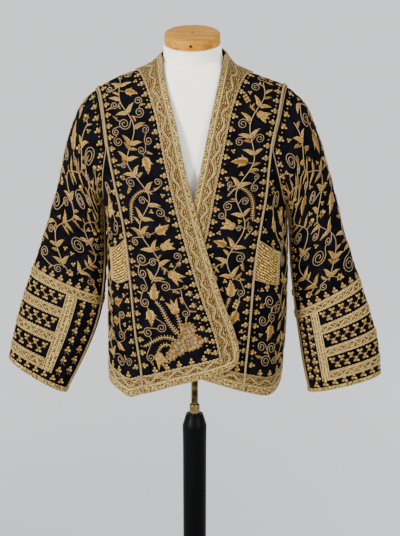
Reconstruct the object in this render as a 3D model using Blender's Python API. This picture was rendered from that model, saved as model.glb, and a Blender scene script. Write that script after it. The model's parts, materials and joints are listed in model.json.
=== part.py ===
"""Embroidered wool jacket with crossed fronts, worn by a limbless dress form on its stand.

Every size is in millimetres and becomes metres when a mesh is made. +Z is up and the fronts face -Y,
so the wearer's right side is at -X. The origin is on the floor, under the middle of the pole.
The cloth is one smooth surface, cut into the pieces that are sewn together. Each piece is a grid of
points on that surface: "across" counts from one seam to the next, and "level" is 0 at the hem, 1 at the
chest line and 2 along the top of the shoulder.
"""

import math

import bmesh
import bpy
import numpy as np

MM = 0.001

# Cloth and trimming
CLOTH = 2.0
TRIM = 1.2
TRIM_GAP = 0.3
SEAM_GAP = 0.3
CORD_WIDTH = 4.0
CORD_HEIGHT = 1.6
# Share of a cord's width that its flat crown takes
CORD_CROWN = 0.6
# How far the front on top stands off the one below, where that starts and over what width
WRAP_LIFT = 5.0
WRAP_START = 119.0
WRAP_RAMP = 36.0

# Shape of the body's cross-section: 2 is an ellipse, more is squarer
SQUARENESS = 2.6
SLEEVE_SQUARENESS = 2.25
CHEST_LINE = 1230.0

# height, half width on the wearer's right, half width on the wearer's left, front depth, back depth
BODY_SECTIONS = (
    (760.0, 171.0, 172.0, 117.0, 112.0),
    (820.0, 172.0, 176.5, 120.0, 112.0),
    (872.0, 173.0, 181.5, 122.0, 110.0),
    (956.0, 173.0, 185.0, 124.0, 108.0),
    (1060.0, 173.5, 186.0, 124.0, 106.0),
    (1151.0, 178.0, 184.0, 122.0, 107.0),
    (1230.0, 197.0, 194.0, 119.0, 110.0),
    (1300.0, 203.0, 198.0, 118.0, 110.0),
    (1400.0, 204.0, 199.0, 118.0, 110.0),
)

# distance from the middle, height of the shoulder's top line
SHOULDER_LINE = (
    (-220.0, 1352.0),
    (-191.5, 1380.0),
    (-150.0, 1405.0),
    (-111.0, 1419.5),
    (-95.0, 1426.0),
    (-80.0, 1435.0),
    (-72.0, 1441.5),
    (-64.0, 1450.5),
    (0.0, 1462.0),
    (60.0, 1452.0),
    (66.0, 1444.5),
    (75.0, 1433.0),
    (93.0, 1423.0),
    (132.0, 1407.5),
    (179.0, 1389.5),
    (215.0, 1362.0),
)
NECK_MIDDLE = -2.0
NECK_HALF = 62.0
NECK_BACK = 66.0
NECK_BACK_HEIGHT = 1446.0
NECK_TURN = 35.0
# How far the gold band behind the neck clears the back, and how much of its end row is cut off
NECK_BAND_LIFT = 0.9
NECK_BAND_CUT = 0.25

# level, front edge of the wearer's right front, front seam of that front
RIGHT_EDGE = (
    (0.0, 91.0),
    (0.05, 94.0),
    (0.167, 87.6),
    (0.403, 59.3),
    (0.727, 22.0),
    (0.953, -1.7),
    (1.04, -10.0),
    (1.289, -29.0),
    (1.52, -48.0),
    (1.65, -54.5),
    (2.0, -64.0),
)
LEFT_EDGE = (
    (0.0, -74.0),
    (0.05, -77.0),
    (0.167, -70.0),
    (0.403, -43.0),
    (0.727, -7.0),
    (0.953, 10.4),
    (1.06, 19.0),
    (1.289, 34.5),
    (1.52, 48.5),
    (1.65, 54.0),
    (2.0, 60.0),
)
RIGHT_SEAM = (
    (0.0, -96.0),
    (0.10, -100.0),
    (0.29, -112.0),
    (0.50, -120.6),
    (0.73, -132.0),
    (0.87, -143.0),
    (0.975, -153.0),
    (1.17, -164.0),
    (1.44, -173.6),
    (2.0, -191.5),
)
LEFT_SEAM = (
    (0.0, 104.0),
    (0.10, 107.5),
    (0.23, 113.0),
    (0.39, 118.6),
    (0.56, 124.0),
    (0.67, 129.5),
    (0.79, 137.0),
    (0.92, 146.0),
    (1.07, 151.0),
    (1.20, 154.5),
    (1.44, 166.0),
    (2.0, 179.0),
)
# level, back seam on the wearer's right, on the left
BACK_SEAMS = (
    (0.0, -112.0, 112.0),
    (0.30, -120.0, 121.0),
    (0.60, -130.0, 134.0),
    (0.90, -148.0, 148.0),
    (1.17, -164.0, 155.0),
    (1.44, -173.6, 166.0),
    (2.0, -191.5, 179.0),
)
# level, width of the gold band along a front edge
FRONT_BAND = ((0.0, 37.0), (1.2, 36.0), (1.5, 33.0), (1.75, 39.0), (2.0, 49.0))
BRAID_WIDTH = 10.0

# distance from the middle, height of the hem
RIGHT_HEM = (
    (-97.0, 789.5),
    (-82.0, 794.0),
    (-42.0, 808.0),
    (17.0, 825.0),
    (78.0, 847.0),
    (95.0, 858.0),
)
LEFT_HEM = (
    (-80.0, 858.0),
    (-60.0, 850.0),
    (18.0, 825.0),
    (78.0, 805.0),
    (104.0, 795.5),
)
# share of the way round a side, height of the hem there
RIGHT_SIDE_HEM = ((0.0, 789.5), (0.1, 778.0), (0.22, 787.0), (0.5, 797.0), (1.0, 800.0))
LEFT_SIDE_HEM = ((0.0, 795.5), (0.23, 779.5), (0.5, 799.0), (1.0, 800.0))
BACK_HEM = ((-112.0, 800.0), (0.0, 806.0), (112.0, 800.0))

# Rows of the body's grids
HEM_BAND_LEVEL = 0.085
POCKET_LOW_LEVEL = 0.53
POCKET_HIGH_LEVEL = 0.71
ARMHOLE_LEVEL = 1.19
NECK_BAND_LEVEL = 1.78
BODY_LEVELS = (
    0.0, HEM_BAND_LEVEL, 0.19, 0.30, 0.42, POCKET_LOW_LEVEL, 0.62, POCKET_HIGH_LEVEL, 0.85, 1.0,
    ARMHOLE_LEVEL, 1.33, 1.48, 1.63, NECK_BAND_LEVEL, 1.89, 2.0,
)  # fmt: skip
FRONT_CELLS = 6
SIDE_ACROSS = (0.0, 0.08, 0.165, 0.25, 0.335, 0.42, 0.5, 0.58, 0.665, 0.75, 0.835, 0.92, 1.0)
POCKET_ACROSS = 0.25
# Where the back's columns meet the neck, as distances from the middle
NECK_COLUMNS = (-56.0, -44.0, -23.0, 0.0, 22.0, 43.0, 55.0)

# Underarm
UNDERARM = 1155.0
UNDERARM_SHAPE = 2.2
UNDERARM_PULL = 3.0

# outer edge x, z, inner edge x, z, half depth, forward shift; from the shoulder down to the cuff
RIGHT_SLEEVE = (
    (-230.0, 1336.0, -178.5, 1141.0, 73.0, 0.0),
    (-245.4, 1296.0, -178.0, 1130.0, 66.0, 1.0),
    (-256.0, 1257.0, -177.0, 1117.0, 60.0, 2.0),
    (-266.0, 1207.0, -176.0, 1095.0, 54.0, 4.0),
    (-279.4, 1158.8, -175.4, 1063.6, 50.0, 6.0),
    (-296.5, 1099.2, -175.8, 1022.3, 47.0, 8.0),
    (-317.0, 1037.0, -179.0, 974.0, 45.0, 9.0),
    (-335.0, 986.0, -187.0, 928.0, 43.0, 9.0),
    (-351.5, 933.0, -203.0, 878.0, 41.0, 8.0),
    (-365.0, 880.0, -229.0, 820.0, 39.0, 7.0),
    (-375.7, 829.5, -259.6, 759.5, 37.0, 6.0),
)
LEFT_SLEEVE = (
    (224.8, 1340.0, 184.5, 1143.0, 73.0, 0.0),
    (240.9, 1300.0, 186.0, 1132.0, 66.0, -2.0),
    (255.3, 1258.0, 187.0, 1117.0, 60.0, -4.0),
    (267.6, 1214.0, 188.0, 1094.0, 54.0, -5.0),
    (280.2, 1166.0, 189.0, 1060.4, 50.0, -6.0),
    (295.0, 1108.0, 191.5, 1019.3, 47.0, -6.0),
    (313.5, 1047.0, 196.5, 971.7, 45.0, -5.0),
    (332.0, 993.0, 202.5, 926.0, 43.0, -4.0),
    (349.6, 939.0, 209.5, 880.0, 41.0, -2.0),
    (367.5, 876.0, 218.0, 826.0, 39.0, 0.0),
    (375.5, 807.0, 230.5, 768.0, 37.0, 2.0),
)
# distances from the cuff's end to the edges of its gold bands, end first
CUFF_EDGING = 9.0
CUFF_BANDS = ((23.0, 43.0), (77.0, 97.0), (131.0, 151.0), (185.0, 205.0))
UPPER_RINGS = (232.0, 262.0, 295.0, 330.0, 365.0, 398.0, 428.0, 452.0, 474.0)
# angle round the cuff of each column from the outer fold to the inner seam
CUFF_ANGLES = (0.0, 14.0, 28.0, 44.0, 60.0, 76.0, 92.0, 107.0, 120.0, 134.0, 148.0, 164.0, 180.0)
# Column where the gold strip of each cuff starts
RIGHT_STRIP = 6
LEFT_STRIP = 7

# Folds of a sleeve: distance from the cuff and angle at the start, then at the end, depth, half width
RIGHT_SLEEVE_FOLDS = (
    (470.0, 62.0, 250.0, 118.0, -7.0, 17.0),
    (440.0, 100.0, 300.0, 150.0, -5.0, 14.0),
    (420.0, 35.0, 230.0, 60.0, 4.0, 20.0),
    (460.0, 300.0, 260.0, 245.0, -6.0, 17.0),
    (300.0, 285.0, 90.0, 262.0, -4.0, 20.0),
)
LEFT_SLEEVE_FOLDS = (
    (465.0, 70.0, 240.0, 128.0, -7.0, 16.0),
    (450.0, 38.0, 300.0, 60.0, -4.0, 16.0),
    (360.0, 95.0, 210.0, 138.0, -4.0, 13.0),
    (455.0, 292.0, 250.0, 240.0, -6.0, 17.0),
    (290.0, 280.0, 100.0, 268.0, -4.0, 20.0),
)
# Folds of a side and of the back: across and level at the start, then at the end, depth, half width
SIDE_FOLDS = (
    (0.38, 1.00, 0.33, 0.10, -4.0, 14.0),
    (0.68, 1.05, 0.72, 0.10, -5.0, 16.0),
)
BACK_FOLDS = (
    (0.16, 1.45, 0.25, 0.15, -4.0, 20.0),
    (0.84, 1.45, 0.76, 0.15, -4.0, 20.0),
    (0.48, 0.80, 0.50, 0.05, -3.0, 24.0),
)

# Dress form: height, how far its skin lies inside the jacket's outer face
FORM_BOTTOM = 906.0
FORM_TOP = 1474.5
FORM_INSET = (
    (900.0, 26.0),
    (950.0, 24.0),
    (1050.0, 30.0),
    (1150.0, 17.0),
    (1230.0, 12.0),
    (1300.0, 8.0),
    (1350.0, 4.4),
    (1385.0, 3.3),
    (1437.0, 3.3),
    (1446.0, 5.0),
    (1470.0, 5.0),
)
FORM_SHOULDER = 171.0
FORM_ROUNDING = 12.0
FORM_COLUMNS = 30
FORM_HEIGHTS = (
    FORM_BOTTOM, 925.0, 955.0, 1000.0, 1050.0, 1100.0, 1150.0, 1190.0, 1225.0, 1255.0, 1285.0, 1312.0,
    1336.0, 1356.0, 1373.0, 1387.0, 1398.0, 1408.0, 1418.0, 1428.0, 1437.0, 1446.0, 1460.0,
)  # fmt: skip
# height, middle from left to right, middle from front to back, half width
NECK_SECTIONS = (
    (1400.0, -2.0, 6.0, 65.0),
    (1430.0, -2.5, 3.0, 58.5),
    (1455.0, -3.0, -3.0, 56.8),
    (FORM_TOP, -3.5, -8.0, 56.5),
)
CAP_HEIGHT = 20.0
CAP_RADIUS = 54.5
CAP_TILT = 9.0

# Stand
BASE_RADIUS = 165.0
BASE_EDGE = 9.0
BASE_HEIGHT = 22.0
POLE_RADIUS = 21.5
POLE_TOP_RADIUS = 16.5
POLE_TOP = 714.0
POLE_TAPER = 30.0
COLLAR_RADIUS = 10.5
COLLAR_HEIGHT = 20.0
ROD_RADIUS = 7.0
ROD_CLEARANCE = 0.35
ROD_LOW = 430.0
ROD_HIGH = 950.0
BORE_BOTTOM = 370.0
SOCKET_TOP = 960.0
ROUND_SIDES = 24
BASE_SIDES = 48


def curve(table, column, at):
    """Reads a smooth curve through one column of a table, at values of the table's first column."""
    knots = np.array([row[0] for row in table])
    values = np.array([row[column] for row in table])
    slopes = np.gradient(values, knots)
    at = np.clip(np.asarray(at, float), knots[0], knots[-1])
    cell = np.clip(np.searchsorted(knots, at, side="right") - 1, 0, len(knots) - 2)
    span = knots[cell + 1] - knots[cell]
    t = (at - knots[cell]) / span
    rise = values[cell + 1] - values[cell]
    blend = t * t * (3 - 2 * t)
    start = t * (1 - t) ** 2 * slopes[cell] * span
    end = t * t * (t - 1) * slopes[cell + 1] * span
    return values[cell] + blend * rise + start + end


def smooth_step(value):
    value = np.clip(value, 0.0, 1.0)
    return value * value * (3 - 2 * value)


def half_width(x_side, height):
    """Half width of the body on the side that x_side points to: -1 is the wearer's right."""
    right, left = curve(BODY_SECTIONS, 1, height), curve(BODY_SECTIONS, 2, height)
    return np.where(np.asarray(x_side) < 0, right, left)


def depth(way, height):
    """Depth of the body at the middle; way is -1 in front and 1 at the back."""
    return np.where(np.asarray(way) < 0, curve(BODY_SECTIONS, 3, height), curve(BODY_SECTIONS, 4, height))


def section_depth(way, x, height):
    share = np.clip(np.abs(x) / half_width(x, height), 0.0, 1.0)
    return depth(way, height) * (1 - share**SQUARENESS) ** (1 / SQUARENESS)


def sheet_point(way, x, level, hem):
    """Point of the cloth in front (way -1) or at the back (way 1), x from the middle."""
    x, level = np.broadcast_arrays(np.asarray(x, float), np.asarray(level, float))
    ridge = curve(SHOULDER_LINE, 1, x)
    inside_neck = np.clip(1 - ((x - NECK_MIDDLE) / NECK_HALF) ** 2, 0.0, 1.0) * (way > 0)
    top_y = NECK_BACK * np.sqrt(inside_neck)
    top_z = ridge + (NECK_BACK_HEIGHT - ridge) * inside_neck
    end = np.radians(90.0 - NECK_TURN * inside_neck)
    turn = end * np.clip(level - 1, 0.0, 1.0)
    hem_z = curve(hem, 1, x)
    low_z = hem_z + (CHEST_LINE - hem_z) * np.minimum(level, 1.0)
    z = np.where(level <= 1, low_z, CHEST_LINE + (top_z - CHEST_LINE) * np.sin(turn) / np.sin(end))
    arch = (np.cos(turn) - np.cos(end)) / (1 - np.cos(end))
    y = way * (top_y + (section_depth(way, x, z) - top_y) * arch)
    return np.stack([x, y, z], -1)


def fold_depth(folds, across, level, across_mm, level_mm):
    """Depth of all the folds in a table at a point, measured in millimetres along the surface."""
    total = np.zeros(np.broadcast(across, level).shape)
    for start_a, start_l, end_a, end_l, fold, width in folds:
        along_a = (end_a - start_a) * across_mm
        along_l = (end_l - start_l) * level_mm
        to_a = (across - start_a) * across_mm
        to_l = (level - start_l) * level_mm
        length = math.hypot(along_a, along_l)
        share = (to_a * along_a + to_l * along_l) / length**2
        aside = (to_a * along_l - to_l * along_a) / length
        ends = smooth_step(share / 0.3 + 0.3) * smooth_step((1 - share) / 0.3 + 0.3)
        total = total + fold * np.exp(-((aside / width) ** 2)) * ends
    return total


def front_x(edge, seam, side, across, level):
    """Across is 0 at the front edge, 1 past the braid, 2 past the gold band and 3 at the front seam."""
    edge_x = curve(edge, 1, level)
    braid_x = edge_x + side * BRAID_WIDTH
    band_x = edge_x + side * curve(FRONT_BAND, 1, level)
    seam_x = curve(seam, 1, level)
    first = edge_x + (braid_x - edge_x) * np.clip(across, 0, 1)
    second = (band_x - braid_x) * np.clip(across - 1, 0, 1)
    return first + second + (seam_x - band_x) * np.clip(across - 2, 0, 1)


def right_front(across, level):
    """The wearer's right front, which laps over the left one."""
    point = sheet_point(-1, front_x(RIGHT_EDGE, RIGHT_SEAM, -1, across, level), level, RIGHT_HEM)
    near_edge = smooth_step((point[..., 0] + WRAP_START) / WRAP_RAMP)
    below_neck = smooth_step((1400.0 - point[..., 2]) / 130.0)
    point[..., 1] -= WRAP_LIFT * near_edge * below_neck
    return point


def left_front(across, level):
    return sheet_point(-1, front_x(LEFT_EDGE, LEFT_SEAM, 1, across, level), level, LEFT_HEM)


def back(across, level):
    """Across is 0 at the seam on the wearer's right and 1 at the other."""
    right_x = curve(BACK_SEAMS, 1, level)
    left_x = curve(BACK_SEAMS, 2, level)
    point = sheet_point(1, right_x + (left_x - right_x) * across, level, BACK_HEM)
    fade = smooth_step(np.minimum(across, 1 - across) / 0.08)
    point[..., 1] += fold_depth(BACK_FOLDS, across, level, 320.0, 430.0) * fade
    return point


def section_angle(point):
    """Angle round the body's cross-section of a point: 90 degrees is straight ahead."""
    x, y, z = point[..., 0], point[..., 1], point[..., 2]
    share = np.clip(np.abs(x) / half_width(x, z), 0.0, 1.0)
    angle = np.arccos(share ** (SQUARENESS / 2))
    return np.where(y < 0, angle, -angle)


def side_panel(side, across, level):
    """The panel under an arm; across is 0 at the front seam and 1 at the back seam."""
    seam, hem, side_hem = LEFT_SEAM, LEFT_HEM, LEFT_SIDE_HEM
    if side < 0:
        seam, hem, side_hem = RIGHT_SEAM, RIGHT_HEM, RIGHT_SIDE_HEM
    back_column = 1 if side < 0 else 2

    def seams(at):
        front = sheet_point(-1, curve(seam, 1, at), at, hem)
        return front, sheet_point(1, curve(BACK_SEAMS, back_column, at), at, BACK_HEM)

    across, level = np.broadcast_arrays(np.asarray(across, float), np.asarray(level, float))
    front, rear = seams(level)
    front_low, rear_low = seams(np.zeros_like(level))
    front_top, rear_top = seams(np.full_like(level, ARMHOLE_LEVEL))

    def between(a, b):
        return a[..., 2] + (b[..., 2] - a[..., 2]) * across

    low, top, here = between(front_low, rear_low), between(front_top, rear_top), between(front, rear)
    risen = (here - low) / (top - low)
    underarm = UNDERARM + (top - UNDERARM) * np.abs(2 * across - 1) ** UNDERARM_SHAPE
    z = here + (curve(side_hem, 1, across) - low) * (1 - risen) - (top - underarm) * risen**UNDERARM_PULL
    angle_front, angle_rear = section_angle(front), section_angle(rear)
    angle = angle_front + (angle_rear - angle_front) * across
    power = 2 / SQUARENESS
    ridge = curve(SHOULDER_LINE, 1, side * half_width(side, z) * np.abs(np.cos(angle)) ** power)
    rise = np.clip((z - CHEST_LINE) / (ridge - CHEST_LINE), 0.0, 1.0)
    arch = np.sqrt(1 - rise**2)
    way = np.where(angle > 0, -1.0, 1.0)
    fade = smooth_step(np.minimum(across, 1 - across) / 0.1)
    fold = fold_depth(SIDE_FOLDS, across, level, 210.0, 430.0) * fade
    x = side * (half_width(side, z) * np.abs(np.cos(angle)) ** power + fold * np.abs(np.cos(angle)))
    y = way * (depth(way, z) * arch * np.abs(np.sin(angle)) ** power + fold * np.abs(np.sin(angle)))
    return np.stack([x, y, z], -1)


def right_side(across, level):
    return side_panel(-1, across, level)


def left_side(across, level):
    return side_panel(1, across, level)


def surface(shape, across, level, centre=(0.0, 0.0, 1150.0)):
    """Grid of points on a surface and their outward normals; the first index runs across."""
    a, l = np.meshgrid(np.asarray(across, float), np.asarray(level, float), indexing="ij")
    low_a, high_a = np.min(a), np.max(a)
    low_l, high_l = np.min(l), np.max(l)
    step = 0.002
    points = shape(a, l)
    along_a = shape(np.minimum(a + step, high_a), l) - shape(np.maximum(a - step, low_a), l)
    along_l = shape(a, np.minimum(l + step, high_l)) - shape(a, np.maximum(l - step, low_l))
    normals = np.cross(along_a, along_l)
    normals /= np.linalg.norm(normals, axis=-1, keepdims=True)
    facing = np.sum(normals * (points - np.array(centre)), axis=-1, keepdims=True)
    return points, normals * np.where(facing < 0, -1.0, 1.0)


def trimmed(points, trims):
    """Moves the edges of a grid inwards; the trims are for low and high across, then low and high level."""
    result = points.copy()
    for axis, ends in ((0, trims[:2]), (1, trims[2:])):
        moved = np.swapaxes(result, 0, axis)
        source = np.swapaxes(points, 0, axis)
        for index, towards, amount in ((0, 1, ends[0]), (-1, -2, ends[1])):
            way = source[towards] - source[index]
            moved[index] += way / np.linalg.norm(way, axis=-1, keepdims=True) * amount
    return result


def wall(outer, inner, closed=False):
    """Vertices and faces of a wall between two grids; a closed one runs round along its first index."""
    across, levels = outer.shape[:2]
    vertices = np.concatenate([outer.reshape(-1, 3), inner.reshape(-1, 3)])
    behind = across * levels
    faces = []
    for i in range(across if closed else across - 1):
        for j in range(levels - 1):
            a, b = i * levels + j, (i + 1) % across * levels + j
            faces.append((a, b, b + 1, a + 1))
            faces.append((a + behind, a + 1 + behind, b + 1 + behind, b + behind))
    for i in range(across if closed else across - 1):
        a, b = i * levels, (i + 1) % across * levels
        top = levels - 1
        faces.append((a, a + behind, b + behind, b))
        faces.append((a + top, b + top, b + top + behind, a + top + behind))
    if not closed:
        for j in range(levels - 1):
            last = (across - 1) * levels
            faces.append((j, j + 1, j + 1 + behind, j + behind))
            faces.append((last + j, last + j + behind, last + j + 1 + behind, last + j + 1))
    return vertices, faces


def make_material(name, color, roughness, metallic):
    material = bpy.data.materials.new(name)
    material.use_nodes = True
    shader = material.node_tree.nodes["Principled BSDF"]
    shader.inputs["Base Color"].default_value = (*color, 1.0)
    shader.inputs["Roughness"].default_value = roughness
    shader.inputs["Metallic"].default_value = metallic
    return material


def add_object(name, vertices, faces, material):
    """Makes a closed body from vertices in millimetres and puts it in the scene with its faces outwards."""
    mesh = bpy.data.meshes.new(name)
    mesh.from_pydata([tuple(v) for v in np.asarray(vertices) * MM], [], faces)
    body = bmesh.new()
    body.from_mesh(mesh)
    bmesh.ops.triangulate(body, faces=body.faces)
    bmesh.ops.recalc_face_normals(body, faces=body.faces)
    if body.calc_volume(signed=True) < 0:
        bmesh.ops.reverse_faces(body, faces=body.faces)
    body.to_mesh(mesh)
    body.free()
    mesh.shade_smooth()
    mesh.set_sharp_from_angle(angle=math.radians(40))
    mesh.materials.append(material)
    piece = bpy.data.objects.new(name, mesh)
    bpy.context.scene.collection.objects.link(piece)
    return piece


def add_wall(name, grid, low, high, trims, material, closed=False):
    """A wall whose faces lie low and high above a grid's points."""
    points, normals = grid
    edge = points if closed else trimmed(points, trims)
    add_object(name, *wall(edge + normals * high, edge + normals * low, closed), material)


def part_of(grid, first, last, low, high):
    """The part of a grid between two columns and two rows, both included."""
    return grid[0][first : last + 1, low : high + 1], grid[1][first : last + 1, low : high + 1]


def cut_corners(grid):
    """Cuts off the two low corners of a strip that is two cells high."""
    points, normals = grid[0].copy(), grid[1]
    for end in (0, -1):
        middle, top = grid[0][end, 1], grid[0][end, 2]
        points[end, 0] = middle + (top - middle) * NECK_BAND_CUT
        points[end, 1] = (points[end, 0] + top) / 2
    return points, normals


def front_across():
    """Columns of a front: edge, braid, gold band, then even cells to the seam."""
    return [0.0, 1.0, 2.0] + [2.0 + (i + 1) / FRONT_CELLS for i in range(FRONT_CELLS)]


def back_across():
    """Columns of the back, which meet both fronts' columns along the shoulder."""
    right = [float(front_x(RIGHT_EDGE, RIGHT_SEAM, -1, a, 2.0)) for a in front_across()]
    left = [float(front_x(LEFT_EDGE, LEFT_SEAM, 1, a, 2.0)) for a in front_across()]
    columns = right[::-1] + list(NECK_COLUMNS) + left
    return [(x - columns[0]) / (columns[-1] - columns[0]) for x in columns]


def cord(name, grid, column, beside, low, high, material):
    """A couched cord on the cloth, along a seam column and on the side of the column beside it."""
    points, normals = grid
    line, up = points[column, low : high + 1], normals[column, low : high + 1]
    towards = points[beside, low : high + 1] - line
    towards /= np.linalg.norm(towards, axis=-1, keepdims=True)
    line = line + towards * (CORD_WIDTH / 2 + SEAM_GAP)
    run = np.gradient(line, axis=0)
    aside = np.cross(up, run)
    aside /= np.linalg.norm(aside, axis=-1, keepdims=True)
    half = CORD_WIDTH / 2
    foot = TRIM_GAP + 0.15
    crown = line + up * (foot + CORD_HEIGHT)
    outer = np.stack([crown - aside * half * CORD_CROWN, crown + aside * half * CORD_CROWN])
    inner = np.stack([line + up * foot - aside * half, line + up * foot + aside * half])
    add_object(name, *wall(outer, inner), material)


def build_body(wool, gold):
    """The fronts, sides and back, with the gold bands, patches and cords that lie on them."""
    hem_row = BODY_LEVELS.index(HEM_BAND_LEVEL)
    pocket_low, pocket_high = BODY_LEVELS.index(POCKET_LOW_LEVEL), BODY_LEVELS.index(POCKET_HIGH_LEVEL)
    armhole_row = BODY_LEVELS.index(ARMHOLE_LEVEL)
    neck_row = BODY_LEVELS.index(NECK_BAND_LEVEL)
    top_row = len(BODY_LEVELS) - 1
    pocket_column = SIDE_ACROSS.index(POCKET_ACROSS)
    seam = SEAM_GAP / 2
    low, high = TRIM_GAP, TRIM_GAP + TRIM

    fronts = {
        "right": surface(right_front, front_across(), BODY_LEVELS),
        "left": surface(left_front, front_across(), BODY_LEVELS),
    }
    sides = {
        "right": surface(right_side, SIDE_ACROSS, BODY_LEVELS[: armhole_row + 1]),
        "left": surface(left_side, SIDE_ACROSS, BODY_LEVELS[: armhole_row + 1]),
    }
    back_grid = surface(back, back_across(), BODY_LEVELS)
    last_front = FRONT_CELLS + 2
    last_side = len(SIDE_ACROSS) - 1
    last_back = len(back_grid[0]) - 1

    for name in ("right", "left"):
        front, side = fronts[name], sides[name]
        add_wall(f"front_{name}", front, -CLOTH, 0.0, (0, seam, 0, seam), wool)
        add_wall(f"side_{name}", side, -CLOTH, 0.0, (seam, seam, 0, seam), wool)
        edge_piece = part_of(front, 0, 2, 0, top_row)
        add_wall(f"front_band_{name}", edge_piece, low, high, (0, seam, 0, seam), gold)
        hem_piece = part_of(front, 2, last_front, 0, hem_row)
        add_wall(f"hem_band_front_{name}", hem_piece, low, high, (seam, seam, 0, 0), gold)
        hem_piece = part_of(side, 0, last_side, 0, hem_row)
        add_wall(f"hem_band_side_{name}", hem_piece, low, high, (seam, seam, 0, 0), gold)
        pocket = part_of(side, 0, pocket_column, pocket_low, pocket_high)
        add_wall(f"pocket_{name}", pocket, low, high, (seam, 0, 0, 0), gold)
        cord(f"seam_cord_front_{name}", front, last_front, last_front - 1, hem_row + 1, top_row - 1, gold)

    add_wall("back", back_grid, -CLOTH, 0.0, (seam, seam, 0, seam), wool)
    hem_piece = part_of(back_grid, 0, last_back, 0, hem_row)
    add_wall("hem_band_back", hem_piece, low, high, (seam, seam, 0, 0), gold)
    neck_piece = part_of(back_grid, FRONT_CELLS, last_back - FRONT_CELLS, neck_row, top_row)
    lift = NECK_BAND_LIFT
    add_wall("neck_band_back", cut_corners(neck_piece), low + lift, high + lift, (0, 0, 0, seam), gold)
    cord("seam_cord_back_right", back_grid, 0, 1, hem_row + 1, top_row - 1, gold)
    cord("seam_cord_back_left", back_grid, last_back, last_back - 1, hem_row + 1, top_row - 1, gold)
    return fronts, sides, back_grid


def armhole(front, side, back_grid, back_column):
    """Points round an armhole from the shoulder forwards, down, back and up, and the angle of each."""
    armhole_row = BODY_LEVELS.index(ARMHOLE_LEVEL)
    down = front[0][-1, armhole_row:][::-1]
    under = side[0][1:-1, -1]
    up = back_grid[0][back_column, armhole_row:-1]
    loop = np.concatenate([down, under, up])
    middle = (loop[0, 2] + np.min(loop[:, 2])) / 2
    half_height = (loop[0, 2] - np.min(loop[:, 2])) / 2
    half_depth = np.max(np.abs(loop[:, 1]))
    angle = np.degrees(np.arctan2(-loop[:, 1] / half_depth, (loop[:, 2] - middle) / half_height)) % 360
    return loop, angle


def sleeve_lengths(sections):
    """Distance of each section's middle from the cuff's end, along the sleeve."""
    middles = [((row[0] + row[2]) / 2, (row[1] + row[3]) / 2) for row in sections]
    lengths = [0.0]
    for a, b in zip(middles[::-1], middles[-2::-1]):
        lengths.append(lengths[-1] + math.dist(a, b))
    return lengths[::-1]


def sleeve_shape(sections, folds):
    """Function of the angle round a sleeve and the distance from its cuff."""
    lengths = sleeve_lengths(sections)
    table = [(length, *row) for length, row in sorted(zip(lengths, sections))]
    power = 2 / SLEEVE_SQUARENESS

    def shape(angle, distance):
        values = [curve(table, column, distance) for column in range(1, 7)]
        outer_x, outer_z, inner_x, inner_z, half_depth, forward = values
        c, s = np.cos(np.radians(angle)), np.sin(np.radians(angle))
        along = np.sign(c) * np.abs(c) ** power
        ahead = np.sign(s) * np.abs(s) ** power
        fold = fold_depth(folds, angle, distance, 1.15, 1.0)
        x = (outer_x + inner_x) / 2 + (outer_x - inner_x) / 2 * along
        z = (outer_z + inner_z) / 2 + (outer_z - inner_z) / 2 * along
        y = -(half_depth + fold) * ahead - forward
        return np.stack([x, y, z], -1)

    return shape, lengths[0]


def sleeve_grid(side, loop, loop_angle, sections, folds):
    """Rings of a sleeve from its cuff up to the armhole, and their outward normals."""
    shape, top = sleeve_shape(sections, folds)
    cuff = CUFF_ANGLES + tuple(360.0 - a for a in CUFF_ANGLES[-2:0:-1])
    rings = sorted([0.0, CUFF_EDGING, *(edge for band in CUFF_BANDS for edge in band), *UPPER_RINGS])
    rings = [ring for ring in rings if ring < top - 6.0] + [top]
    points = []
    normals = []
    for ring in rings:
        share = smooth_step((ring - CUFF_BANDS[-1][1]) / (top - CUFF_BANDS[-1][1]))
        angle = np.array(cuff) + (loop_angle - np.array(cuff)) * share
        points.append(shape(angle, np.full(len(angle), ring)))
        down = shape(angle, np.full(len(angle), max(ring - 1.0, 0.0)))
        above = shape(angle, np.full(len(angle), min(ring + 1.0, top)))
        around = shape(angle + 0.5, ring + 0 * angle) - shape(angle - 0.5, ring + 0 * angle)
        normal = np.cross(around, above - down)
        normal /= np.linalg.norm(normal, axis=-1, keepdims=True)
        middle = np.mean(points[-1], axis=0)
        facing = np.sum(normal * (points[-1] - middle), axis=-1, keepdims=True)
        normals.append(normal * np.where(facing < 0, -1.0, 1.0))
    start = loop + np.array([side * SEAM_GAP, 0.0, 0.0])
    first = points[-1]
    chord = np.roll(loop, -1, axis=0) - np.roll(loop, 1, axis=0)
    start_normal = np.stack([np.zeros(len(loop)), chord[:, 2], -chord[:, 1]], -1)
    start_normal /= np.linalg.norm(start_normal, axis=-1, keepdims=True)
    outward = loop * np.array([0.0, 1.0, 1.0]) - np.array([0.0, 0.0, np.mean(loop[:, 2])])
    facing = np.sum(start_normal * outward, axis=-1, keepdims=True)
    start_normal *= np.where(facing < 0, -1.0, 1.0)
    # The cloth leaves the armhole level at the top and turns down the arm
    lead = np.stack([np.full(len(loop), side * 1.0), np.zeros(len(loop)), np.full(len(loop), -0.75)], -1)
    reach = np.linalg.norm(first - start, axis=-1, keepdims=True)
    tail = first - points[-2]
    tail /= np.linalg.norm(tail, axis=-1, keepdims=True)
    # The ring halfway along the cubic curve from the armhole to the first ring
    points.append((start + first) / 2 + (lead + tail) * reach / 8)
    blend = start_normal + normals[-1]
    normals.append(blend / np.linalg.norm(blend, axis=-1, keepdims=True))
    points.append(start)
    normals.append(start_normal)
    return (np.stack(points, 1), np.stack(normals, 1)), rings


def wrap(grid, first, last):
    """Columns of a closed grid from first back through 0 and round to last."""
    count = grid[0].shape[0]
    order = [(first - i) % count for i in range((first - last) % count + 1)]
    return grid[0][order], grid[1][order]


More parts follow.
